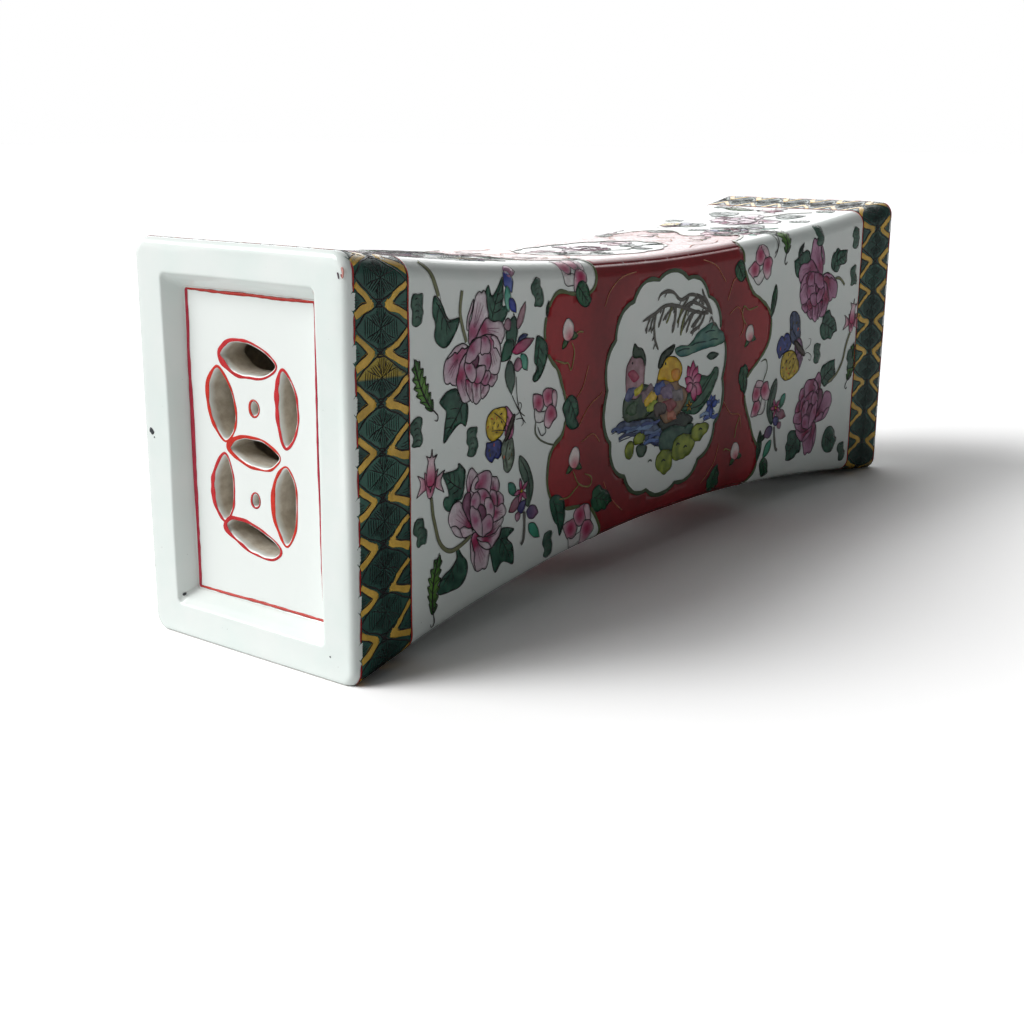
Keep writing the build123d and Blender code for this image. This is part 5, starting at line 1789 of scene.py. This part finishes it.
    # first duck, rose and grey with a green crest
    wash(((-32.5, -7), (-32, -1), (-27, 2.5), (-18, 3), (-8, 0), (-7.6, -6), (-12, -9.6), (-24, -10.6), (-30, -10)),
         mottled((46, 72, 62), (84, 100, 78), 11, 3.0), 1.6, 0.3, 12)
    wash(((-29.5, 0), (-31, 6), (-30.4, 12), (-26.5, 15.4), (-21.4, 15.5), (-17.6, 12.4), (-17.2, 7), (-18.4, 1), (-23, -2)),
         mottled((142, 110, 118), (188, 150, 160), 12, 3.0), 1.4, 0.3, 13)
    wash(((-26.2, 15), (-25.6, 19.8), (-22.5, 18.4), (-19, 17.4), (-16.8, 14), (-17, 10.6), (-19.6, 13.6)), (44, 70, 52), 1.4, 0.3, 14)
    wash(((-29.6, 8.6), (-26, 10), (-22, 7.6), (-21.2, 6.0), (-25.4, 5.0)), mottled((150, 52, 80), (176, 84, 108), 15, 1.4), 1.2, 0, 15)
    for n, (a, b, r, colour) in enumerate(((-27, 1, 3.2, (76, 84, 124)), (-21.5, 1.6, 2.6, (186, 178, 60)), (-15, -1, 3.6, (120, 100, 108)),
                                           (-12.2, -3.2, 3.4, (214, 178, 56)), (-10.6, -7, 3.0, (150, 168, 60)), (-26, -5, 3.6, (58, 84, 60)))):
        turn = np.linspace(0, 2 * math.pi, 9)[:-1]
        wash(np.stack([a + r * 1.35 * np.cos(turn) + r * 0.4 * np.sin(turn), b + r * 0.75 * np.sin(turn)], 1),
             mottled(colour, tuple(min(255, c + 40) for c in colour), n, 1.6), 1.2, 0, 40 + n, 1.8)
    # second duck, yellow with a blue wing
    wash(((-7, -3), (-8, 3), (-4, 8.6), (2, 11.6), (8.6, 9.8), (11.6, 4.6), (9, 0), (16, -4), (15, -9), (8, -14), (0, -15.4), (-5, -11)),
         mottled((110, 92, 80), (164, 130, 96), 21, 3.0), 1.6, 0.3, 21)
    wash(((-7.4, 4), (-4, 9.6), (1.5, 12), (8.4, 9.8), (11.4, 5.4), (9.4, 1.4), (3.6, 1.2), (-2, 2.6)), mottled((206, 158, 30), (236, 204, 60), 22, 2.4), 1.3, 0.3, 22)
    wash(((-7.2, 8.4), (-5.6, 13), (-1, 15.2), (5, 16.4), (3.6, 13.4), (-1, 11.6), (-4.4, 8.4)), (46, 60, 48), 1.4, 0.3, 23)
    wash(((3.2, 5.6), (8, 6.2), (10, 3.6), (7.6, 1.2), (3.8, 2.4)), mottled((214, 132, 50), (228, 170, 60), 24, 1.6), 1.2, 0, 24)
    for n, (a, b, r, colour) in enumerate(((-5, 0, 3.4, (56, 78, 140)), (0.6, -2.6, 4.2, (112, 96, 124)), (2.4, -8, 4.0, (128, 60, 66)), (4.6, -12.6, 2.8, (170, 104, 84)),
                                           (-4.6, -8.6, 3.8, (72, 64, 62)), (8.6, -4.6, 3.6, (118, 112, 116)))):
        turn = np.linspace(0, 2 * math.pi, 9)[:-1]
        wash(np.stack([a + r * 1.3 * np.cos(turn) - r * 0.4 * np.sin(turn), b + r * 0.8 * np.sin(turn)], 1),
             mottled(colour, tuple(min(255, c + 36) for c in colour), n, 1.6), 1.2, 0, 60 + n, 1.8)
    for a, b in ((-1.6, 9.4), (-26.4, 12.6)):
        dot = run(move([(a + 0.6, b), (a, b + 0.6), (a - 0.6, b), (a, b - 0.6)]), closed=True, step=0.4)
        canvas.wash(dot, INK, "pond_scene", step=1.0)
    # lotus flower
    for n, (angle, length, width) in enumerate(((118, 10, 4.6), (92, 10.5, 5.0), (66, 8.5, 4.6), (150, 7.6, 4.0), (30, 7.5, 4.6), (-30, 9.0, 5.0), (-75, 7.5, 4.6), (190, 6.0, 4.0))):
        slim_petal(canvas, move([(20.6, -2.4)])[0], angle, length * size, width * size, (236, 190, 208), (178, 40, 98), 70 + n, "pond_scene")
    star_bloom(canvas, move([(18.2, -10.8)])[0], 20, 0.42 * size, 78, heart=(220, 150, 50), tip=(240, 210, 90))
    # rocks and bank
    wash(((-5, -22), (-2, -18), (6, -17), (14, -18.6), (22, -19), (19, -24), (8, -27), (-2, -27)), mottled((40, 74, 66), (84, 120, 104), 31, 3.0), 1.8, 0.28, 31)
    for n, points in enumerate((
        ((-6, -33), (-6, -28), (-1, -26), (5, -28), (5.6, -34), (0, -36.6)), ((5, -30), (7, -24), (13, -21.6), (20, -23.4), (24, -27.6), (19, -31.6), (10, -33)),
        ((20, -24), (23, -20), (30, -19.6), (35, -22), (31, -25.6), (25, -27)), ((-30.5, -21.6), (-28, -18.4), (-23.6, -19.8), (-25.4, -25), (-29, -25)),
        ((-24, -17.6), (-20, -16), (-16, -17.4), (-18, -20.6), (-23, -20.4)), ((-22, -22), (-18, -20.8), (-14, -22.6), (-16, -26), (-21, -25.4)),
    )):
        wash(points, mottled((92, 112, 40), (166, 180, 72), 80 + n, 3.0) if n != 5 else mottled((48, 76, 62), (84, 108, 92), 3), 1.5, 0.28, 80 + n, 0.8)
    for a, b in ((-11.5, -29.2), (10, -26), (16, -28), (28, -22.6), (-1, -31)):
        line(((a - 1.6, b), (a, b + 0.7), (a + 1.6, b - 0.2)), 0.6, (46, 66, 50), a)
    # boat like stroke on the far water
    wash(((31, 8.4), (34, 9.8), (38.4, 9.4), (40.6, 8.2), (37, 6.8), (33, 7.0)), (56, 84, 72), 1.4, 0.2, 90)


# The leaves round the left peonies: outline, base and tip in mm on the face
LEFT_LEAVES = (
    (((-145.5, 16), (-142.5, 18.2), (-138.5, 19), (-136, 18.4), (-133.5, 14.5), (-130.4, 13), (-130.2, 9.5), (-131.5, 6), (-134, 7.2), (-137, 6.4),
      (-140, 4.5), (-143.5, 2.5), (-142.8, 8), (-142, 12), (-144, 14)), (-132.6, 14.2), (-143.2, 3.4)),
    (((-148.5, 49), (-146, 48.5), (-143.5, 45.5), (-141, 41.5), (-138, 41), (-134.8, 41.2), (-135.6, 38.5), (-138, 35.5), (-140.5, 33.4),
      (-143.5, 32.7), (-146.5, 34.2), (-148.2, 37), (-147.6, 40.5), (-149, 44)), (-147.6, 47.8), (-138.4, 36.4)),
    (((-120, 42.5), (-121, 46), (-118.6, 50), (-116.6, 46.5), (-114, 48), (-110.4, 52), (-110, 46), (-110.3, 42.4), (-106.4, 42.8), (-108, 39.5),
      (-111, 37.2), (-116, 37.4)), (-116.6, 38.2), (-111, 50.6)),
    (((-145, -7.6), (-141.5, -7.6), (-136.2, -7.4), (-135.6, -5.8), (-133.5, -7), (-131.5, -9.2), (-132, -13), (-133.4, -17.6), (-137, -18.2),
      (-140.2, -20.6), (-143, -19.4), (-143.8, -17.2), (-142.6, -15.6), (-140.6, -15.4), (-142, -11.5), (-144, -8.5)), (-133, -15), (-143.4, -8.4)),
    (((-137, -34), (-136.6, -37.5), (-139.6, -40), (-144, -41.8), (-147, -45), (-146, -47.5), (-136, -47.8), (-132, -46), (-130.3, -42.6),
      (-131, -39.6), (-133.5, -37), (-135, -35)), (-135, -36), (-145.6, -46.4)),
    (((-109.6, -33.4), (-103, -35.2), (-107, -37.4), (-104, -40.5), (-103.2, -44), (-103.4, -47.5), (-107, -46.2), (-110.5, -45.5), (-114, -48),
      (-115.5, -46), (-116.5, -42.5), (-117.2, -39), (-113, -36.8), (-111, -35)), (-112, -35.6), (-104.4, -46)),
)


DEEPER = (0.86, 0.68, 0.80)


def side_painting(canvas):
    """The front face's painting. The back has it again."""
    hole = lobed((0.7, 1.2), 45.2, 43.8, 14, 0.045, 0.4)
    red_ground(canvas, FRONT_LEFT_EDGE, FRONT_RIGHT_EDGE, hole)
    for n, points in enumerate((
        ((-62, -6), (-56, 0), (-48, 3.6), (-46, 5)), ((-60, -12), (-52, -10), (-47, -14)), ((-72, 8), (-66, 4), (-60, 8), (-56, 16)),
        ((48, 24), (54, 27), (58, 24), (60, 18), (57, 14)), ((46, -12), (52, -18), (60, -20), (62, -26)), ((46, 30), (50, 38), (56, 40)),
        ((-46, 36), (-42, 42), (-34, 46), (-24, 47)), ((44, 38), (36, 45), (26, 48)), ((-44, -30), (-38, -38), (-30, -44)), ((44, -30), (40, -38), (30, -45)),
    )):
        gilt_scroll(canvas, points, n + 3)
    cartouche_frame(canvas, hole)
    pond_scene(canvas, (0.7, 0.4), 0.98)

    # white reserves that bite into the red ground
    for n, (outline, bloom, size) in enumerate((
        (((-78, 54), (-77, 48), (-73.5, 45), (-69, 44.5), (-66, 42.5), (-61.5, 41.8), (-57.5, 43.4), (-55.5, 46.5), (-52, 48), (-51, 54)), (-66, 50.5), 1.05),
        (((-66, -36), (-60, -37.5), (-53, -38.6), (-49.6, -42), (-47.6, -44.4), (-45, -48), (-47, -52), (-60, -53), (-68, -50)), (-60, -44.6), 1.2),
    )):
        round_bloom(canvas, bloom, size, 20 * n, 60 + n)
    round_bloom(canvas, (-83.6, 4.4), 1.0, 0, 64)
    canvas.stroke(run([(-89.6, 0.4), (-89.8, -3.4), (-86.6, -6.6), (-81, -9.0), (-78.4, -9.6)], step=0.8), 0.7, (96, 104, 84), "stems")
    canvas.stroke(run([(-88.4, -1.6), (-86.2, -5.0), (-83.4, -4.4), (-83.8, -2.4)], step=0.8), 0.45)
    round_bloom(canvas, (72.7, 42.4), 1.12, 40, 66)
    round_bloom(canvas, (77.6, -15.2), 1.05, 80, 67)
    canvas.stroke(run([(79, -8), (82, -3), (80.6, 1.4), (76.4, 1.0)], step=0.8), 0.6, (96, 104, 84), "stems")

    # leaves on the edge of the red ground, and buds on it
    for n, (at, turn, length, width, kind) in enumerate((
        ((-64.4, 45.5), 318, 11, 7.5, "round"),
        ((-51.5, -34.6), 342, 14.5, 9.5, "ivy"), ((-83.6, 36.0), 80, 6, 3.4, "blade"), ((86.0, 33.6), 258, 15, 8.0, "blade"), ((52.6, 45.2), 310, 9.5, 8.0, "round"), ((61.0, 0.6), 280, 13, 7.5, "ivy"),
        ((38.0, -49.6), 60, 12, 9.0, "ivy"), ((79.0, -30), 262, 14.5, 7.5, "blade"), ((81, -43.6), 300, 9.5, 7, "round"), ((78, -35), 20, 8, 4, "blade"),
    )):
        leaf(canvas, at, turn, length, width, kind, 100 + n, (16, 72, 48), (50, 110, 74))
    for n, (outline, base, tip) in enumerate((
        (((-89.5, 30), (-86.5, 29.5), (-83.5, 27), (-82.6, 23.5), (-84.5, 19), (-87.5, 15.6), (-91, 14.6), (-91.6, 16.5), (-89, 19), (-90.8, 21.5), (-90.6, 26)), (-88, 29), (-90.6, 15.4)),
        (((-70, 5.5), (-66.5, 6.4), (-63, 3.5), (-62, -0.5), (-63.5, -2.5), (-61.8, -5.6), (-66, -6.2), (-70, -4), (-71, -1), (-72.5, 2.5)), (-68.6, 5.6), (-62.6, -5)),
        (((-80, -29.5), (-76, -28.6), (-71, -31.6), (-70, -37), (-71, -41), (-73.5, -44.5), (-75, -40.5), (-77.4, -38), (-79.6, -33.5)), (-78, -29.6), (-73.2, -43)),
    )):
        painted_leaf(canvas, outline, base, tip, 110 + n, (20, 66, 52), (60, 118, 92))
    ground_bud(canvas, (-69.6, 29.8), 10, 1.2, 120, (
        ((-66.5, 27.8), (-63, 28.8), (-60, 28.4)), ((-67.4, 25.6), (-65.6, 21.6), (-67.6, 16.0), (-69.6, 18.6), (-72, 18.8), (-78, 20.6)),
    ))
    ground_bud(canvas, (-64.2, -17.6), -8, 1.2, 121, (
        ((-65, -22), (-61, -27.6), (-54, -29.8), (-52.5, -26.6), (-57, -24.4)), ((-74, -30.6), (-68, -31), (-61, -28)),
    ))
    ground_bud(canvas, (65.4, 14.2), 5, 1.1, 122, (((62, 18.6), (58.6, 22.4), (59.4, 26.6), (64, 24.8), (71, 25.6)),))
    ground_bud(canvas, (58.0, -36.2), 5, 1.15, 123, (((57, -30), (58, -25), (61, -20.6)), ((54, -35), (50, -33.4), (48, -34)),))

    # left panel
    stem(canvas, [(-153, 60.5), (-149.6, 56), (-146.6, 50.6), (-145.2, 46.6)], 1.5, seed=3)
    stem(canvas, [(-133.2, 49.4), (-134.4, 43), (-132.8, 37.5), (-131, 33)], 1.3, seed=4)
    for n, (outline, base, tip) in enumerate(LEFT_LEAVES):
        painted_leaf(canvas, outline, base, tip, 132 + n)
    peony(canvas, (-123.6, 25.4), "tall", 1.0, 0, False, 1)
    stem(canvas, [(-150.4, -14), (-149, -21.6), (-145.8, -30), (-139.6, -34.2), (-132, -32.8), (-127, -31)], 1.4, seed=6)
    peony(canvas, (-121.4, -24.6), "trailing", 1.0, 0, False, 2)
    fern(canvas, (-148.8, 13.2), 118, 20.5, 7.0, 7)
    fern(canvas, (-150.0, -53.8), 78, 20.5, 7.0, 8)
    lotus_bud(canvas, (-150.6, -8.6), -4, 1.0, 9)
    for n, at in enumerate(((-156.8, 46), (-157.6, 8), (-156.2, -24), (-127.6, 0), (-89.4, 45), (-81, -45.8))):
        pebble(canvas, at, 88 + 9 * n % 20, 9.4, 6.2, 140 + n)
    fuchsia(canvas, (-104.6, 29.0), 0, 1.0, False, 150)
    butterfly(canvas, (-110, 0), 0, 1.0, False, 160)
    small_spray(canvas, (-100.6, -25.8), 0, 1.0, False, 170)

    # right panel
    stem(canvas, [(147.5, 29), (142, 32.4), (136, 31.6), (131, 30)], 1.2, seed=9)
    leaf(canvas, (114, 38), 158, 14, 14.5, "ivy", 180)
    leaf(canvas, (104.6, 43.6), 60, 8, 6, "blade", 186)
    leaf(canvas, (136.6, 36.0), 66, 10.5, 9.0, "round", 181)
    leaf(canvas, (139.4, 40.4), 18, 10, 8, "three", 187)
    leaf(canvas, (129, 13.0), 338, 15, 13, "ivy", 182)
    leaf(canvas, (131.6, -14.8), 30, 15, 12.5, "three", 183)
    leaf(canvas, (112.6, -37.6), 222, 14, 14, "ivy", 184)
    leaf(canvas, (136.4, -41.0), 330, 13, 12.5, "round", 185)
    peony(canvas, (120.4, 28.0), "tall", 1.04, 0, True, 3, shade=DEEPER)
    peony(canvas, (121.6, -26.4), "trailing", 1.04, 0, True, 4, shade=DEEPER)
    fern(canvas, (93.4, 45.4), 272, 21, 9, 11, True)
    fern(canvas, (155.6, -18.0), 258, 19, 8, 12, True)
    stem(canvas, [(156, 6.6), (152.6, 0), (149.6, -8), (144.6, -13), (138, -16)], 1.3, seed=13)
    lotus_bud(canvas, (156.6, 11.4), -6, 1.0, 14)
    for n, at in enumerate(((123, 53), (155.2, 50.4), (155.4, 32.6), (126, -0.8), (157.6, -7), (154.6, -51.6))):
        pebble(canvas, at, 86 + 7 * n % 18, 9.2, 6.2, 190 + n)
    butterfly(canvas, (104.0, 2.4), 200, 1.25, True, 200, wings=((206, 176, 44), (130, 92, 128), (52, 68, 104), (44, 60, 140)))
    small_spray(canvas, (94.2, -24.5), 8, 1.05, True, 210)
    fuchsia(canvas, (88.5, 68), 4, 0.8, True, 220)


def level_painting(canvas, left, right):
    """The narrower top and underside: one row of peonies at each side of a lobed medallion."""
    hole = lobed((0.0, 0.0), 40.0, 23.0, 14, 0.05, 0.4)
    red_ground(canvas, left, right, hole)
    for n, points in enumerate((
        ((-62, -20), (-54, -24), (-46, -22), (-42, -16)), ((62, 20), (54, 24), (46, 22), (42, 16)), ((-60, 22), (-50, 26), (-40, 24), (-30, 28)),
        ((60, -24), (50, -27), (40, -24), (30, -28)), ((-54, 4), (-48, 8), (-46, 2)), ((54, -4), (48, -8), (46, -2)),
    )):
        gilt_scroll(canvas, points, n + 30)
    cartouche_frame(canvas, hole)
    stem(canvas, [(-32, -8), (-20, -12), (-6, -8), (8, -12), (22, -7), (31, -9)], 1.0, seed=15)
    for n, (at, turn, length, kind) in enumerate((((-22, -10), 120, 11, "ivy"), ((-16, -11), 300, 9, "three"), ((20, -8), 60, 11, "ivy"), ((14, -10), 280, 9, "three"),
                                                  ((-30, -8), 200, 8, "blade"), ((29, -8), 340, 8, "blade"))):
        leaf(canvas, at, turn, length, length * 0.9, kind, 230 + n)
    peony(canvas, (0, 1.5), "tall", 0.78, 0, False, 15)
    round_bloom(canvas, (-25, 4), 1.0, 10, 240)
    round_bloom(canvas, (26, 5), 1.0, 50, 241)
    for n, (a, b) in enumerate(((-70, 8), (71, -6))):
        round_bloom(canvas, (a * 1.12, b - 6), 1.0, 30 * n, 250 + n)
    for n, (at, turn, length, width, kind) in enumerate((((-75, 22), 250, 13, 8, "blade"), ((-76, -18), 110, 13, 8, "ivy"), ((75, 20), 280, 13, 8, "ivy"), ((76, -22), 80, 13, 8, "blade"),
                                                         ((-56, -30), 30, 10, 7, "ivy"), ((56, 31), 210, 10, 7, "ivy"))):
        leaf(canvas, at, turn, length, width, kind, 260 + n, (16, 72, 48), (50, 110, 74))
    ground_bud(canvas, (-62, 14), 5, 1.1, 270, (((-62, 9), (-58, 4), (-60, -2)),))
    ground_bud(canvas, (-63, -13), 5, 1.1, 271, (((-60, -17), (-55, -18), (-52, -14)),))
    ground_bud(canvas, (62, 13), 5, 1.1, 272, (((62, 8), (58, 3), (60, -3)),))
    ground_bud(canvas, (63, -13), 5, 1.1, 273, (((60, -17), (55, -18), (52, -14)),))
    for side in (-1, 1):
        def at(a, b, side=side):
            return (side * a, b * side)

        seed = 300 + side
        stem(canvas, [at(152, -22), at(146, -12), at(138, -8), at(132, -4)], 1.3, seed=seed)
        leaf(canvas, at(134, 12), 60 + (180 if side < 0 else 0), 15, 14, "ivy", seed + 10)
        leaf(canvas, at(106, 9), 130 + (180 if side < 0 else 0), 14, 13, "three", seed + 20)
        leaf(canvas, at(134, -13), 310 + (180 if side < 0 else 0), 14, 12, "heart", seed + 30)
        leaf(canvas, at(108, -12), 230 + (180 if side < 0 else 0), 13, 13, "ivy", seed + 40)
        peony(canvas, at(121, 0), "tall" if side < 0 else "trailing", 1.0, 0, side > 0, 20 + side)
        fern(canvas, at(151, 8), 70 if side > 0 else 250, 20, 8.5, seed + 50)
        lotus_bud(canvas, at(152, 2 if side < 0 else -2), 0, 0.9, seed + 60)
        small_spray(canvas, at(94, -14), 0, 0.9, side < 0, seed + 70)
        butterfly(canvas, at(98, 20), 20 * side, 0.8, side > 0, seed + 80)
        for n, (a, b) in enumerate(((156, 28), (156, -27), (112, 29), (127, -28), (88, 2), (92, -30))):
            pebble(canvas, at(a, b), 86 + 7 * n, 8.6, 5.6, seed + 90 + n)


class PILLOW_OT_front(bpy.types.Operator):
    """Paints the front face: peonies, leaves and butterflies round a red ground with a pond scene"""

    bl_idname = "pillow.front"
    bl_label = "Front painting"

    def execute(self, context):
        canvas = Canvas("front", 1)
        side_painting(canvas)
        canvas.dry("front", FINISHES)
        return {"FINISHED"}


class PILLOW_OT_back(bpy.types.Operator):
    """Paints the back face as the front is painted"""

    bl_idname = "pillow.back"
    bl_label = "Back painting"

    def execute(self, context):
        canvas = Canvas("back", 5)
        side_painting(canvas)
        canvas.dry("back", FINISHES)
        return {"FINISHED"}


class PILLOW_OT_top(bpy.types.Operator):
    """Paints the top face: one row of flowers round a red ground with a medallion"""

    bl_idname = "pillow.top"
    bl_label = "Top painting"

    def execute(self, context):
        canvas = Canvas("top", 9)
        level_painting(canvas, TOP_LEFT_EDGE, TOP_RIGHT_EDGE)
        canvas.dry("top", FINISHES)
        return {"FINISHED"}


class PILLOW_OT_underside(bpy.types.Operator):
    """Paints the arched underside between the feet"""

    bl_idname = "pillow.underside"
    bl_label = "Underside painting"

    def execute(self, context):
        canvas = Canvas("bottom", 13)
        level_painting(canvas, BOTTOM_LEFT_EDGE, BOTTOM_RIGHT_EDGE)
        canvas.dry("underside", FINISHES)
        return {"FINISHED"}


# ---------------------------------------------------------------- stage


class PILLOW_OT_stage(bpy.types.Operator):
    """Sets the pale floor, the soft lights, the white surround and the camera"""

    bl_idname = "pillow.stage"
    bl_label = "Stage"

    def execute(self, context):
        scene = context.scene
        floor = solid("floor", [(-9000, -9000, -0.2), (9000, -9000, -0.2), (9000, 9000, -0.2), (-9000, 9000, -0.2)],
                      [(0, 1, 2), (0, 2, 3)])
        material, tree, shader, place = new_finish("floor_finish", 0.9)
        pale = tuple(scene.pillow_colours.floor)
        matt = tree.nodes.new("ShaderNodeBsdfDiffuse")
        path = tree.nodes.new("ShaderNodeLightPath")
        seen = mix_colour(tree, "MIX", path.outputs["Is Camera Ray"], pale, tuple(c * FLOOR_AS_SEEN for c in pale))
        seen = mix_colour(tree, "MIX", path.outputs["Is Glossy Ray"], seen, tuple(c * FLOOR_IN_GLAZE for c in pale))
        tree.links.new(seen, matt.inputs["Color"])
        tree.links.new(matt.outputs["BSDF"], tree.nodes["Material Output"].inputs["Surface"])
        tree.nodes.remove(shader)
        floor.data.materials.append(material)

        # The room is bright behind the pillow and dim in front of it; the camera sees plain white.
        world = bpy.data.worlds.new("studio")
        scene.world = world
        world.use_nodes = True
        tree = world.node_tree
        path = tree.nodes.new("ShaderNodeLightPath")
        way = tree.nodes.new("ShaderNodeTexCoord")
        apart = tree.nodes.new("ShaderNodeSeparateXYZ")
        tree.links.new(way.outputs["Generated"], apart.inputs["Vector"])
        level = None
        for ray, (dim, bright) in (("Is Diffuse Ray", ROOM), ("Is Glossy Ray", ROOM_IN_GLAZE), ("Is Camera Ray", (1.0, 1.0))):
            turn = add_node(tree, "ShaderNodeMapRange", From_Min=-0.2, From_Max=0.2, To_Min=dim, To_Max=bright)
            tree.links.new(apart.outputs["Y"], turn.inputs["Value"])
            share = tree.nodes.new("ShaderNodeMath")
            share.operation = "MULTIPLY"
            tree.links.new(turn.outputs["Result"], share.inputs[0])
            tree.links.new(path.outputs[ray], share.inputs[1])
            if level is None:
                level = share
            else:
                total = tree.nodes.new("ShaderNodeMath")
                total.operation = "ADD"
                tree.links.new(level.outputs["Value"], total.inputs[0])
                tree.links.new(share.outputs["Value"], total.inputs[1])
                level = total
        background = tree.nodes["Background"]
        background.inputs["Color"].default_value = (1, 1, 1, 1)
        tree.links.new(level.outputs["Value"], background.inputs["Strength"])

        for name, strength, spread, azimuth, elevation in LAMPS:
            lamp = bpy.data.lights.new(name, "SUN")
            lamp.energy = strength
            lamp.angle = math.radians(spread)
            obj = bpy.data.objects.new(name, lamp)
            scene.collection.objects.link(obj)
            a, e = math.radians(azimuth), math.radians(elevation)
            towards = Vector((math.cos(a) * math.cos(e), math.sin(a) * math.cos(e), math.sin(e)))
            obj.rotation_mode = "QUATERNION"
            obj.rotation_quaternion = towards.to_track_quat("Z", "Y")

        yaw, pitch, roll = (math.radians(v) for v in CAMERA_TURN)
        right = Vector((math.cos(yaw), -math.sin(yaw), 0))
        ahead = Vector((math.sin(yaw) * math.cos(pitch), math.cos(yaw) * math.cos(pitch), -math.sin(pitch)))
        up = right.cross(ahead)
        side = math.cos(roll) * right + math.sin(roll) * up
        top = -math.sin(roll) * right + math.cos(roll) * up
        data = bpy.data.cameras.new("camera")
        data.sensor_width = 36.0
        data.lens = CAMERA_FOCUS * 36.0 / 1024
        data.clip_start, data.clip_end = 0.01, 50.0
        camera = bpy.data.objects.new("camera", data)
        scene.collection.objects.link(camera)
        camera.matrix_world = Matrix((
            (side.x, top.x, -ahead.x, CAMERA_PLACE[0]),
            (side.y, top.y, -ahead.y, CAMERA_PLACE[1]),
            (side.z, top.z, -ahead.z, CAMERA_PLACE[2]),
            (0, 0, 0, 1),
        ))
        scene.camera = camera
        scene.view_settings.view_transform = "Standard"
        return {"FINISHED"}


# How bright the room is in front of the pillow and behind it, for its own light and as seen in the glaze
ROOM = (0.045, 0.46)
ROOM_IN_GLAZE = (0.12, 1.0)
FLOOR_AS_SEEN = 1.55
FLOOR_IN_GLAZE = 0.4
# name, strength, apparent size, azimuth from +X towards +Y and elevation of where the light comes from, degrees
LAMPS = (
    ("key_light", 1.4, 35.0, 130.0, 36.0),
    ("key_light_left", 1.4, 35.0, 145.0, 36.0),
    ("back_light", 0.55, 50.0, 40.0, 13.0),
)
CAMERA_TURN = (52.74, 15.02, 0.40)
CAMERA_FOCUS = 1443.0
CAMERA_PLACE = (-0.48645, -0.33097, 0.16555)


class PILLOW_OT_body(bpy.types.Operator):
    """Gives the clay slabs, the slip and the coils their unglazed finishes"""

    bl_idname = "pillow.body"
    bl_label = "Clay body"

    def execute(self, context):
        for name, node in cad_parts.items():
            if name.endswith("_seam"):
                finish = "slip_finish"
            elif name.endswith(("_coil", "_panel")):
                # coils and inner panels take the darker biscuit, painted shade of the closed inside
                finish = "inner_biscuit_shaded_finish"
            else:
                finish = "biscuit_finish"
            node.data.materials.clear()
            node.data.materials.append(finish_named(finish))
        return {"FINISHED"}


class PILLOW_PT_panel(bpy.types.Panel):
    """Lists the sizes and the pieces"""

    bl_idname = "PILLOW_PT_panel"
    bl_label = "Porcelain pillow"
    bl_space_type = "VIEW_3D"
    bl_region_type = "UI"
    bl_category = "Pillow"

    def draw(self, context):
        layout = self.layout
        for group in (context.scene.pillow_form, context.scene.pillow_colours):
            for name in group.__annotations__:
                layout.prop(group, name)
        for operator in OPERATORS:
            layout.operator(operator.bl_idname)


GROUPS = (PillowForm, PillowColours)
OPERATORS = (
    PILLOW_OT_body,
    PILLOW_OT_glaze,
    PILLOW_OT_panels,
    PILLOW_OT_panel_lines,
    PILLOW_OT_bands,
    PILLOW_OT_front,
    PILLOW_OT_back,
    PILLOW_OT_top,
    PILLOW_OT_underside,
    PILLOW_OT_stage,
)


def register():
    for item in (*GROUPS, *OPERATORS, PILLOW_PT_panel):
        bpy.utils.register_class(item)
    bpy.types.Scene.pillow_form = PointerProperty(type=PillowForm)
    bpy.types.Scene.pillow_colours = PointerProperty(type=PillowColours)


def unregister():
    del bpy.types.Scene.pillow_colours
    del bpy.types.Scene.pillow_form
    for item in reversed((*GROUPS, *OPERATORS, PILLOW_PT_panel)):
        bpy.utils.unregister_class(item)


def main():
    register()
    for operator in OPERATORS:
        group, name = operator.bl_idname.split(".")
        getattr(getattr(bpy.ops, group), name)()


if __name__ == "__main__":
    main()
